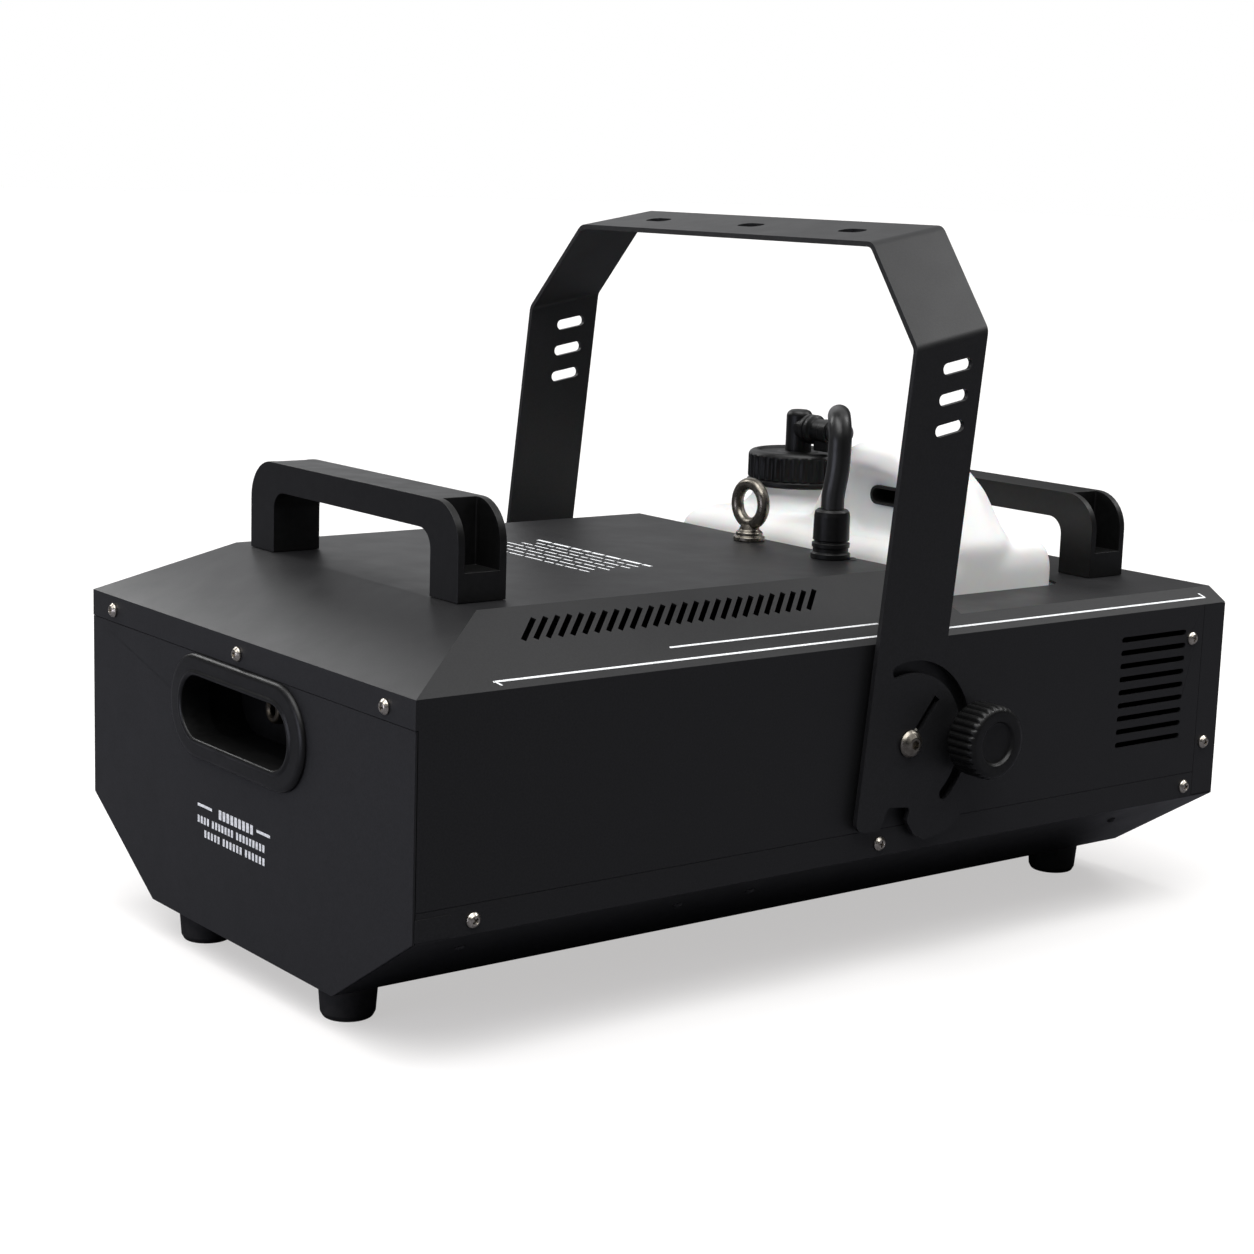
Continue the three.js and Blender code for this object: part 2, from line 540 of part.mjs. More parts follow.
// ---------- hanging bracket and its clamps ----------
// The swept strap is a U-shaped strip drawn in (x, up) and extruded along the slanted width direction.
function bracketStrap() {
  const { inner, sheet, width, lean, sweep, offset, low, top, topHalf } = BRACKET;
  const o = inner + sheet, half = 50;
  const outer = rounded([[-o, half], [-o, low, 8], [-topHalf, top, 8], [topHalf, top, 8], [o, low, 8],
    [o, half]], 3);
  const bend = sheet * Math.tan(rad(22.5));
  const inside = rounded([[inner, half], [inner, low - bend, 5], [topHalf - bend, top - sheet, 5],
    [-topHalf + bend, top - sheet, 5], [-inner, low - bend, 5], [-inner, half]], 3);
  const outline = [...outer, ...inside].reverse();
  const up = new THREE.Vector3(0, sin(rad(lean)), cos(rad(lean)));
  const back = new THREE.Vector3(0, -cos(rad(lean - sweep)), sin(rad(lean - sweep)));
  const g = new THREE.ExtrudeGeometry(shapeOf(outline), { depth: width, bevelEnabled: false });
  g.translate(0, 0, -offset - width / 2);
  g.applyMatrix4(new THREE.Matrix4().makeBasis(X, up, back));
  g.translate(0, PIVOT.y, PIVOT.z);
  return solid(g);
}

function bracketBarSlots() {
  const { width, lean, sweep, offset, low, top } = BRACKET;
  const up = new THREE.Vector3(0, sin(rad(lean)), cos(rad(lean)));
  const along = new THREE.Vector3(0, cos(rad(lean - sweep)), -sin(rad(lean - sweep)));
  const at = (s, t) => new THREE.Vector3(0, PIVOT.y, PIVOT.z).addScaledVector(up, s)
    .addScaledVector(along, t);
  const tools = [];
  for (const x of [-92, 0, 92]) {
    const c = at(top, offset), outline = roundedRect(0, 0, 20, 11, 5.4, 6);
    const g = new THREE.ExtrudeGeometry(shapeOf(outline), { depth: 20, bevelEnabled: false });
    g.translate(0, 0, -10);
    g.applyMatrix4(new THREE.Matrix4().makeBasis(X, along, X.clone().cross(along)));
    g.translate(x, c.y, c.z);
    tools.push(solid(g));
  }
  for (const s of [low - 17, low - 34.5, low - 52]) {
    const c = at(s, offset + 6.5), outline = roundedRect(0, 0, 22.6, 6.8, 3.35, 5);
    const g = new THREE.ExtrudeGeometry(shapeOf(outline), { depth: 2 * HALF_W + 40, bevelEnabled: false });
    g.translate(0, 0, -HALF_W - 20);
    g.applyMatrix4(new THREE.Matrix4().makeBasis(along, X.clone().cross(along), X));
    g.translate(0, c.y, c.z);
    tools.push(solid(g));
  }
  return tools;
}

function bracketPlate(side) {
  const { inner, sheet } = BRACKET, { y, z } = PIVOT;
  const [x0, x1] = side > 0 ? [inner, inner + sheet] : [-inner - sheet, -inner];
  const outline = rounded([[y - 28.3, z + 54], [y - 39, z - 48, 6], [y - 20, z - 49, 3], [y - 14, z - 36, 2],
    [y + 3, z - 38, 2], [y + 1, z - 46, 2], [y + 7, z - 55, 4], [y + 15, z - 59],
    ...arc(y, z, 65, -60, 66, 24)], 3);
  const plate = prismX(outline, x0, x1);
  const slotOuter = arc(y, z, CLAMP_RADIUS + 3.8, -48, 106, 26);
  const slotInner = arc(y, z, CLAMP_RADIUS - 3.8, 106, -48, 26);
  const slot = prismX([...slotOuter, ...slotInner], x0 - 2, x1 + 2);
  const ends = [-48, 106].map((deg) => {
    const [[ey, ez]] = arc(y, z, CLAMP_RADIUS, deg, deg, 1);
    return rod([x0 - 2, ey, ez], [x1 + 2, ey, ez], 3.8, 16);
  });
  const pivotHole = rod([x0 - 2, y, z], [x1 + 2, y, z], 4.4, 20);
  const c = [cos(rad(51)), sin(rad(51))], w = 2.4, far = 32;
  const keyPoint = (out, across) => [y + c[0] * out + c[1] * across, z + c[1] * out - c[0] * across];
  const key = prismX([keyPoint(0, w), keyPoint(far, w), keyPoint(far, -w), keyPoint(0, -w)], x0 - 2, x1 + 2);
  return { plate, tools: [slot, ...ends, pivotHole, key] };
}

function bracket() {
  const sides = [bracketPlate(1), bracketPlate(-1)];
  const whole = union(bracketStrap(), ...sides.map((s) => s.plate));
  return cut(whole, ...bracketBarSlots(), ...sides.flatMap((s) => s.tools));
}

function pivotBolt(side) {
  const profile = [[0, -14], [3.9, -14], [3.9, 6.3], [8.2, 6.3], [7.6, 8.6], [5, 10.4], [0, 11]];
  const g = turned(profile, [0, 0, 0], 'z', 20).rotate([0, side * 90, 0]);
  return g.translate([side * HALF_W, PIVOT.y, PIVOT.z]);
}

function pivotBush(side) {
  const [a, b] = [side * (HALF_W + GAP), side * (BRACKET.inner - GAP)];
  return cut(rod([a, PIVOT.y, PIVOT.z], [b, PIVOT.y, PIVOT.z], 11, 20),
    rod([a - side, PIVOT.y, PIVOT.z], [b + side, PIVOT.y, PIVOT.z], 4.3, 20));
}

const CLAMP_Y = PIVOT.y + CLAMP_RADIUS;
const clampStud = (side) => rod([side * (HALF_W - 14), CLAMP_Y, PIVOT.z],
  [side * (HALF_W + 22), CLAMP_Y, PIVOT.z], 3.1, 12);

function clampKnob(side) {
  const from = BRACKET.inner + BRACKET.sheet + GAP, flutes = 20, r = 22;
  const outline = [];
  for (let k = 0; k < flutes; k++) {
    const a = 360 * k / flutes;
    outline.push(...arc(0, 0, r, a, a + 9, 1), ...arc(0, 0, r - 1.2, a + 11, a + 16, 1));
  }
  const grip = prismZ(outline, from + 6, 213);
  const hub = rod([0, 0, from], [0, 0, from + 7], 13, 24, 15);
  const recess = rod([0, 0, 210], [0, 0, 214], 12.5, 24);
  const bore = rod([0, 0, from - 1], [0, 0, HALF_W + 22 + GAP], 3.1 + GAP, 12);
  const whole = cut(union(grip, hub), recess, bore);
  return whole.rotate([0, side * 90, 0]).translate([0, CLAMP_Y, PIVOT.z]);
}

// ---------- rear panel fittings and electronics ----------
function panelPlug([x, z, w, h], depth, flange, proud) {
  const y = HALF_L;
  const [a, b] = [w / 2 - GAP, h / 2 - GAP], [c, d] = [w / 2 + flange, h / 2 + flange];
  return union(box(x - a, x + a, y - depth, y + proud, z - b, z + b),
    box(x - c, x + c, y + GAP, y + proud, z - d, z + d));
}

function mainsInlet() {
  const [x, z, w, h] = REAR.inlet;
  const cavity = box(x - w / 2 + 3, x + w / 2 - 3, HALF_L - 16, HALF_L + 5, z - h / 2 + 3, z + h / 2 - 3);
  const pins = [-6, 0, 6].map((dx) => box(x + dx - 1, x + dx + 1, HALF_L - 17, HALF_L - 2, z - 3.5, z + 3.5));
  return union(cut(panelPlug(REAR.inlet, 22, 4, 2.4), cavity), ...pins);
}

function switchFrame() {
  const [x, z, w, h] = REAR.rocker;
  return cut(panelPlug(REAR.rocker, 16, 2.5, 2),
    box(x - w / 2 + 2.2, x + w / 2 - 2.2, HALF_L - 12, HALF_L + 5, z - h / 2 + 2.2, z + h / 2 - 2.2));
}

function switchRocker() {
  const [x, z, w] = REAR.rocker, a = w / 2 - 2.8, y = HALF_L;
  const tip = x - a + 2;        // set in, so that the raised end swings clear of the frame
  const outline = [[x - a, y - 5], [x + a, y - 5], [x + a, y + 0.2], [x, y + 1.4], [tip, y + 3.6]];
  return prismZ(outline, z - 4.4, z + 4.4);
}

const onRearPanel = (shape, x, z) => shape.rotate([-90, 0, 0]).translate([x, HALF_L, z]);
const FUSE_BORE = 6.2, FUSE_FLANGE = 1.8;
function fuseHolder() {
  const [x, z, r] = REAR.fuse;
  const profile = [[0, -20], [r - GAP, -20], [r - GAP, GAP], [r + 2, GAP], [r + 2, FUSE_FLANGE],
    [FUSE_BORE, FUSE_FLANGE], [FUSE_BORE, -18], [0, -18]];
  return onRearPanel(turned(profile, [0, 0, 0], 'z', 20), x, z);
}

function fuseCap() {
  const [x, z, r] = REAR.fuse, seat = FUSE_FLANGE + GAP, face = seat + 2.2;
  const stem = FUSE_BORE - GAP;
  const profile = [[0, -17.5], [stem, -17.5], [stem, seat], [r, seat], [r - 0.6, face], [0, face]];
  const slot = box(x - 5, x + 5, HALF_L + face - 1.4, HALF_L + face + 1, z - 0.8, z + 0.8);
  return cut(onRearPanel(turned(profile, [0, 0, 0], 'z', 20), x, z), slot);
}

function dmxSocket([x, z, r]) {
  const profile = [[0, -18], [r - GAP, -18], [r - GAP, GAP], [r + 3, GAP], [r + 3, 2.4], [r - 3, 2.4],
    [r - 3, -12], [0, -12]];
  const shell = onRearPanel(turned(profile, [0, 0, 0]), x, z);
  const pins = [-30, 90, 210].map((deg) => {
    const [px, pz] = [x + 5 * cos(rad(deg)), z + 5 * sin(rad(deg))];
    return rod([px, HALF_L - 13, pz], [px, HALF_L - 3, pz], 1.2, 8);
  });
  return union(shell, ...pins);
}

const displayPanel = () => panelPlug(REAR.display, 8, 2, 1.2);
const menuButton = (x) => rod([x, HALF_L - 5, REAR.buttonsZ], [x, HALF_L + 2.5, REAR.buttonsZ], 4, 16);

function controlBoard() {
  const y = HALF_L - 22.5;
  const chip = box(-20, 20, y - 5, y, 150, 170);
  return union(box(-40, 112, y - 0.5, y + 1.2, 142, 178), chip);
}

function powerBoard() {
  const z = Z_BOTTOM + SHEET + 8;
  const parts = [box(-95, 95, 234, 278, z, z + 1.6)];
  for (const x of [-70, -40, 0, 45]) parts.push(box(x - 11, x + 11, 244, 266, z + 1, z + 18));
  parts.push(box(66, 90, 240, 272, z + 1, z + 32));
  for (const x of [-88, 88]) parts.push(rod([x, 239, Z_BOTTOM + SHEET + GAP], [x, 239, z + 0.5], 3, 8));
  return union(...parts);
}

const thermostat = () => union(box(-14, 14, HEATER.y1 + GAP, HEATER.y1 + 5, 172, 192),
  rod([0, HEATER.y1 + 4, 182], [0, HEATER.y1 + 14, 182], 8, 16));

function lipScrew(x) {
  const z = Z_LIP + 7, y = -HALF_L;
  const head = turned([[0, 0], [4.2, 0], [3.8, 1.5], [2.4, 2.3], [0, 2.5]], [0, 0, 0], 'z', 16);
  return head.rotate([90, 0, 0]).translate([x, y - GAP, z]);
}

// ---------- assembly ----------
add('bottom_pan', bottomPan(), POWDER);
add('top_cover', topCover(), POWDER);
add('front_panel', frontPanel(), POWDER);
add('rear_panel', rearPanel(), POWDER);
add('tank_well', tankWell(), ZINC);
add('nozzle_bezel', nozzleBezel(), PLASTIC);
add('nozzle_shroud', nozzleShroud(), POWDER);
add('nozzle', nozzle(), BRASS);
add('heater_lower', heaterHalf(HEATER.z0, HEATER.mid, false), ALUMINIUM);
add('heater_upper', heaterHalf(HEATER.mid + GAP, HEATER.z1, true), ALUMINIUM);
add('heater_bracket_front', heaterBracket(HEATER.y0 + 30), ZINC);
add('heater_bracket_rear', heaterBracket(HEATER.y1 - 30), ZINC);
add('thermostat', thermostat(), NYLON);
add('pump', pump(), ZINC);
add('pump_bracket', pumpBracket(), ZINC);
add('intake_tube', intakeTube(), NYLON);
add('outlet_tube', outletTube(), BRASS);
add('hose_coupler', hoseCoupler(), PLASTIC);
add('fluid_tank', fluidTank(), HDPE);
add('tank_grip', tankGrip(), RUBBER);
add('tank_cap', tankCap(), PLASTIC);
add('cap_elbow', capElbow(), PLASTIC);
add('dip_tube', dipTube(), NYLON);
add('intake_filter', intakeFilter(), NICKEL);
add('feed_hose', feedHose(), RUBBER);
add('front_handle', handle(FRONT_HANDLE_Y, Z_TOP + GAP), PLASTIC);
add('rear_handle', handle(REAR_HANDLE_Y, Z_DECK + GAP), PLASTIC);
add('eyebolt', eyebolt(), NICKEL);
add('bracket', bracket(), POWDER);
for (const [name, side] of [['left', -1], ['right', 1]]) {
  add(`pivot_bolt_${name}`, pivotBolt(side), NICKEL);
  add(`pivot_bush_${name}`, pivotBush(side), NYLON);
  add(`clamp_stud_${name}`, clampStud(side), NICKEL);
  add(`clamp_knob_${name}`, clampKnob(side), PLASTIC);
}
['front_left', 'front_right', 'rear_left', 'rear_right'].forEach((name, i) => {
  add(`foot_${name}`, foot(FEET[i]), RUBBER);
});
add('power_board', powerBoard(), BOARD);
add('control_board', controlBoard(), BOARD);
add('mains_inlet', mainsInlet(), PLASTIC);
add('switch_frame', switchFrame(), PLASTIC);
add('switch_rocker', switchRocker(), PLASTIC);
add('fuse_holder', fuseHolder(), PLASTIC);
add('fuse_cap', fuseCap(), PLASTIC);
add('dmx_in', dmxSocket(REAR.dmxIn), NICKEL);
add('dmx_out', dmxSocket(REAR.dmxOut), NICKEL);
add('display_panel', displayPanel(), DISPLAY);
REAR.buttonsX.forEach((x, i) => add(`menu_button_${i + 1}`, menuButton(x), PLASTIC));
LIP_SCREWS_X.forEach((x, i) => add(`lip_screw_${i + 1}`, lipScrew(x), NICKEL));

export default machine;
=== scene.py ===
"""The look of the fog machine: studio, materials and fine pieces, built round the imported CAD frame.

Sizes are in millimetres until new_object() turns them into metres. X is the width, the nozzle
points to -Y and the floor is z = 0.
"""
import json
import math
import bmesh
import bpy
from mathutils import Matrix, Vector


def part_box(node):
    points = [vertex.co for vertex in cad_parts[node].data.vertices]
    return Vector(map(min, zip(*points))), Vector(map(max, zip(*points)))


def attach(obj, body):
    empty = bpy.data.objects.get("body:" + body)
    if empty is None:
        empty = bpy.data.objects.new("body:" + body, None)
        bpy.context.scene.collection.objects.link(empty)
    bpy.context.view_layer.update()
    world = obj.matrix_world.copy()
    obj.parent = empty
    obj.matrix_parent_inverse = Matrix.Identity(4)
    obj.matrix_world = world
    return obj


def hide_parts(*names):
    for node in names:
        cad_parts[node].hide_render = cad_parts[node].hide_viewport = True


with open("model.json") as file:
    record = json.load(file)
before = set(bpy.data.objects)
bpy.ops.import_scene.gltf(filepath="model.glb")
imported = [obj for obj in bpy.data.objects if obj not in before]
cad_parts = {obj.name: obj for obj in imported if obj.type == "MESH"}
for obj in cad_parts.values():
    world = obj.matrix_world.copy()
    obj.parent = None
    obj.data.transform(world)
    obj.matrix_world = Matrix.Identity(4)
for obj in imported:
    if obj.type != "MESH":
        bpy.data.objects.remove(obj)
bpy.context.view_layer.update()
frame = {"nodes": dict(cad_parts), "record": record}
MM = 0.001


def box_mm(node):
    """Lowest and highest corner of a CAD node in millimetres."""
    low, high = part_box(node)
    return low / MM, high / MM


# ---------- driving values ----------
COVER_HIGH = box_mm("top_cover")[1]
HALF_W, HALF_L, Z_TOP = COVER_HIGH.x, COVER_HIGH.y, COVER_HIGH.z
PAN_LOW, PAN_HIGH = box_mm("bottom_pan")
Z_SEAM = PAN_HIGH.z
Z_BELLY, BELLY_IN = 70.0, 77.0          # the lower chamfer's top, and how far it runs in
Z_SHOULDER, TOP_HALF = 195.0, 129.0     # the side slope's lower edge, and its upper edge's x
SLOPE = math.atan2(Z_TOP - Z_SHOULDER, HALF_W - TOP_HALF)
PIVOT_Y, PIVOT_Z = 26.0, 136.0
CLAMP_Y = PIVOT_Y + 44.5
TANK_HALF, TANK_Y0, TANK_Y1, TANK_FLOOR, TANK_SHOULDER = 113.0, 86.0, 222.0, 84.0, 234.0
TANK_CORNER = 14.0
HUMP_Y0, HUMP_Y1 = 118.0, 186.0
GRIP_X, GRIP_Z, GRIP_W, GRIP_H = 59.7, 257.6, 34.0, 12.5
ELBOW_Z, ELBOW_TOP, ELBOW_OUT, HOSE_R = 288.0, 300.0, 34.0, 7.0

CAMERA_AT = Vector((1.1718, -0.9430, 0.4512))
CAMERA_YAW, CAMERA_PITCH, CAMERA_ROLL = (math.radians(a) for a in (52.294, 10.435, 1.859))
CAMERA_LENS, CAMERA_SENSOR = 70.64, 36.0


# ---------- camera and studio ----------
def make_camera():
    """The photograph's viewpoint: turned by its yaw, then pitched down, then rolled."""
    data = bpy.data.cameras.new("camera")
    data.sensor_width, data.lens = CAMERA_SENSOR, CAMERA_LENS
    camera = bpy.data.objects.new("camera", data)
    bpy.context.scene.collection.objects.link(camera)
    sin_yaw, cos_yaw = math.sin(CAMERA_YAW), math.cos(CAMERA_YAW)
    flat = math.cos(CAMERA_PITCH)
    forward = Vector((-sin_yaw * flat, cos_yaw * flat, -math.sin(CAMERA_PITCH)))
    level = Vector((cos_yaw, sin_yaw, 0))
    upright = level.cross(forward)
    right = level * math.cos(CAMERA_ROLL) + upright * math.sin(CAMERA_ROLL)
    up = upright * math.cos(CAMERA_ROLL) - level * math.sin(CAMERA_ROLL)
    turn = Matrix((right, up, -forward)).transposed()
    camera.matrix_world = Matrix.Translation(CAMERA_AT) @ turn.to_4x4()
    bpy.context.scene.camera = camera


def add_light(name, kind, energy, at, size, colour=(1, 1, 1)):
    """An area light, or a sun whose size is its angle in degrees, aimed at the machine's middle."""
    data = bpy.data.lights.new(name, kind)
    data.energy, data.color = energy, colour
    if kind == "SUN":
        data.angle = math.radians(size)
    else:
        data.size = size
    light = bpy.data.objects.new(name, data)
    bpy.context.scene.collection.objects.link(light)
    light.visible_camera = False
    light.location = at
    light.rotation_euler = (Vector((0, 0, 0.15)) - Vector(at)).to_track_quat("-Z", "Y").to_euler()


def seen_or_lit(tree, seen, lit, out):
    """Shows one shader to the camera, and lights the machine with the other."""
    mix = tree.nodes.new("ShaderNodeMixShader")
    path = tree.nodes.new("ShaderNodeLightPath")
    tree.links.new(path.outputs["Is Camera Ray"], mix.inputs["Fac"])
    tree.links.new(lit, mix.inputs[1])
    tree.links.new(seen, mix.inputs[2])
    tree.links.new(mix.outputs["Shader"], out.inputs["Surface"])


def soft_patch(tree, direction, start, strength):
    """A round soft patch of light in the sky, from nothing at start (a cosine) to strength at its middle."""
    place = tree.nodes.new("ShaderNodeTexCoord")
    facing = tree.nodes.new("ShaderNodeVectorMath")
    facing.operation = "DOT_PRODUCT"
    facing.inputs[1].default_value = Vector(direction).normalized()
    level = tree.nodes.new("ShaderNodeMapRange")
    level.interpolation_type = "SMOOTHSTEP"
    level.inputs["From Min"].default_value = start
    level.inputs["To Max"].default_value = strength
    tree.links.new(place.outputs["Generated"], facing.inputs[0])
    tree.links.new(facing.outputs["Value"], level.inputs["Value"])
    return level.outputs["Result"]


def make_world():
    """White to the camera; for the machine a dark room with a soft patch behind it and one overhead."""
    world = bpy.data.worlds.new("studio")
    bpy.context.scene.world = world
    world.use_nodes = True
    tree = world.node_tree
    tree.nodes.clear()
    seen = tree.nodes.new("ShaderNodeBackground")
    seen.inputs["Color"].default_value = (1, 1, 1, 1)
    room = tree.nodes.new("ShaderNodeBackground")
    room.inputs["Color"].default_value = (0.97, 0.98, 1, 1)
    total = tree.nodes.new("ShaderNodeMath")
    total.operation = "ADD"
    behind = soft_patch(tree, (-0.9, 0.3, 0.38), 0.86, 0.72)
    tree.links.new(behind, total.inputs[0])
    tree.links.new(soft_patch(tree, (0.25, 0.1, 0.96), 0.75, 0.9), total.inputs[1])
    base = tree.nodes.new("ShaderNodeMath")
    base.operation = "ADD"
    base.inputs[1].default_value = 0.055
    tree.links.new(total.outputs["Value"], base.inputs[0])
    tree.links.new(base.outputs["Value"], room.inputs["Strength"])
    out = tree.nodes.new("ShaderNodeOutputWorld")
    seen_or_lit(tree, seen.outputs["Background"], room.outputs["Background"], out)


def make_paper():
    """Pale paper to the camera, with light shadows, that throws little light back at the machine."""
    look = bpy.data.materials.new("studio_paper")
    look.use_nodes = True
    tree = look.node_tree
    tree.nodes.clear()
    paper = tree.nodes.new("ShaderNodeBsdfDiffuse")
    paper.inputs["Color"].default_value = (0.37, 0.366, 0.362, 1)
    glow = tree.nodes.new("ShaderNodeEmission")
    glow.inputs["Color"].default_value = (1, 0.985, 0.98, 1)
    glow.inputs["Strength"].default_value = 0.52
    both = tree.nodes.new("ShaderNodeAddShader")
    tree.links.new(paper.outputs["BSDF"], both.inputs[0])
    tree.links.new(glow.outputs["Emission"], both.inputs[1])
    dark = tree.nodes.new("ShaderNodeBsdfDiffuse")
    dark.inputs["Color"].default_value = (0.13, 0.13, 0.145, 1)
    out = tree.nodes.new("ShaderNodeOutputMaterial")
    seen_or_lit(tree, both.outputs["Shader"], dark.outputs["BSDF"], out)
    return look


def make_studio():
    """A paper floor, two broad suns, a low light for the front panel and two rim lights."""
    bpy.context.scene.view_settings.view_transform = "Standard"
    make_world()
    mesh = bpy.data.meshes.new("studio_floor")
    far = 30.0
    mesh.from_pydata([(-far, -far, 0), (far, -far, 0), (far, far, 0), (-far, far, 0)], [], [(0, 1, 2, 3)])
    floor = bpy.data.objects.new("studio_floor", mesh)
    bpy.context.scene.collection.objects.link(floor)
    mesh.materials.append(make_paper())
    add_light("key", "SUN", 3.2, (0.35, -0.75, 2.4), size=60)
    add_light("overhead", "SUN", 1.35, (-0.1, 0.1, 3.0), size=120)
    add_light("low_front", "AREA", 9, (0.0, -1.5, 0.07), size=0.9, colour=(0.82, 0.84, 1))
    add_light("rim_left", "AREA", 9, (-1.6, -0.45, 1.2), size=0.7)
    add_light("rim_back", "AREA", 7, (0.55, 1.3, 1.5), size=0.5)


make_camera()
make_studio()


# ---------- materials ----------
def material(name, colour, roughness, metallic=0.0, specular=0.5, **sockets):
    """A Principled material; sockets are other inputs, such as coat_weight."""
    look = bpy.data.materials.new(name)
    look.use_nodes = True
    shader = look.node_tree.nodes["Principled BSDF"]
    shader.inputs["Base Color"].default_value = (*colour, 1)
    shader.inputs["Roughness"].default_value = roughness
    shader.inputs["Metallic"].default_value = metallic
    shader.inputs["Specular IOR Level"].default_value = specular
    for socket, value in sockets.items():
        shader.inputs[socket.replace("_", " ").title()].default_value = value
    look.diffuse_color = (*colour, 1)
    return look


def noise(look, scale, detail=2.0, stretch=(1, 1, 1)):
    """A noise texture in the piece's own metres."""
    nodes, links = look.node_tree.nodes, look.node_tree.links
    place = nodes.new("ShaderNodeTexCoord")
    mapping = nodes.new("ShaderNodeMapping")
    mapping.inputs["Scale"].default_value = stretch
    texture = nodes.new("ShaderNodeTexNoise")
    texture.inputs["Scale"].default_value = scale
    texture.inputs["Detail"].default_value = detail
    links.new(place.outputs["Object"], mapping.inputs["Vector"])
    links.new(mapping.outputs["Vector"], texture.inputs["Vector"])
    return texture.outputs["Fac"]


def remap(look, value, low, high, spread=0.25):
    """Turns noise, which lies about 0.5, into the range low to high."""
    node = look.node_tree.nodes.new("ShaderNodeMapRange")
    node.inputs["From Min"].default_value = 0.5 - spread
    node.inputs["From Max"].default_value = 0.5 + spread
    node.inputs["To Min"].default_value = low
    node.inputs["To Max"].default_value = high
    look.node_tree.links.new(value, node.inputs["Value"])
    return node.outputs["Result"]


def vary_roughness(look, scale, low, high, **options):
    """Roughness that drifts between low and high."""
    shader = look.node_tree.nodes["Principled BSDF"]
    value = remap(look, noise(look, scale, **options), low, high)
    look.node_tree.links.new(value, shader.inputs["Roughness"])


def vary_colour(look, scale, first, second, spread=0.2, **options):
    """Colour that drifts between the first and the second."""
    nodes, links = look.node_tree.nodes, look.node_tree.links
    mix = nodes.new("ShaderNodeMix")
    mix.data_type = "RGBA"
    mix.inputs["A"].default_value = (*first, 1)
    mix.inputs["B"].default_value = (*second, 1)
    links.new(remap(look, noise(look, scale, **options), 0, 1, spread), mix.inputs["Factor"])
    links.new(mix.outputs["Result"], nodes["Principled BSDF"].inputs["Base Color"])


def grain(look, scale, height_mm, **options):
    """Fine relief whose bumps are height_mm high."""
    nodes, links = look.node_tree.nodes, look.node_tree.links
    bump = nodes.new("ShaderNodeBump")
    bump.inputs["Strength"].default_value = 1.0
    bump.inputs["Distance"].default_value = height_mm * MM
    links.new(noise(look, scale, **options), bump.inputs["Height"])
    links.new(bump.outputs["Normal"], nodes["Principled BSDF"].inputs["Normal"])


def powder_coat():
    look = material("powder_coat", (0.0066, 0.0066, 0.0071), 0.46, specular=0.38)
    vary_colour(look, 900, (0.0044, 0.0044, 0.0048), (0.0092, 0.0092, 0.0101))
    vary_roughness(look, 38, 0.42, 0.5, detail=3)
    grain(look, 1300, 0.03)
    return look


def moulded_plastic():
    look = material("black_plastic", (0.004, 0.004, 0.004), 0.38, specular=0.26)
    vary_colour(look, 300, (0.003, 0.003, 0.003), (0.0054, 0.0054, 0.0054))
    vary_roughness(look, 60, 0.33, 0.43)
    grain(look, 1700, 0.014)
    return look


def hose_rubber():
    look = material("hose_rubber", (0.009, 0.009, 0.009), 0.36, specular=0.5)
    vary_colour(look, 80, (0.007, 0.007, 0.007), (0.012, 0.012, 0.012))
    vary_roughness(look, 120, 0.3, 0.42)
    grain(look, 900, 0.012)
    return look


def soft_rubber():
    look = material("soft_rubber", (0.008, 0.008, 0.008), 0.7, specular=0.35)
    vary_colour(look, 200, (0.006, 0.006, 0.006), (0.012, 0.011, 0.011))
    grain(look, 1200, 0.03)
    return look


def plated_metal(name, first, second, roughness, scale=260):
    look = material(name, first, roughness, metallic=1.0)
    vary_colour(look, scale, first, second)
    vary_roughness(look, scale * 1.6, roughness * 0.75, roughness * 1.3)
    grain(look, 1500, 0.006)
    return look


def tank_plastic():
    look = material("tank_polyethylene", (0.86, 0.855, 0.835), 0.42, specular=0.4,
                    subsurface_weight=0.35, subsurface_scale=0.008)
    vary_colour(look, 24, (0.8, 0.795, 0.775), (0.85, 0.85, 0.838), detail=3)
    vary_roughness(look, 90, 0.36, 0.5)
    grain(look, 420, 0.02)
    return look


def circuit_board():
    look = material("circuit_board", (0.012, 0.09, 0.03), 0.4)
    vary_colour(look, 350, (0.008, 0.07, 0.022), (0.02, 0.13, 0.05), spread=0.1)
    grain(look, 900, 0.03)
    return look


def white_ink():
    look = material("printed_ink", (0.62, 0.63, 0.64), 0.55)
    vary_colour(look, 700, (0.6, 0.61, 0.62), (0.86, 0.87, 0.88))
    grain(look, 1500, 0.008)
    return look


def lit_segment():
    look = material("display_segment", (0.05, 0.32, 0.38), 0.3)
    vary_colour(look, 500, (0.03, 0.26, 0.32), (0.06, 0.4, 0.46))
    return look


def smoked_window():
    look = material("smoked_window", (0.006, 0.014, 0.018), 0.12)
    vary_colour(look, 60, (0.004, 0.011, 0.015), (0.009, 0.02, 0.025))
    vary_roughness(look, 50, 0.08, 0.16)
    return look


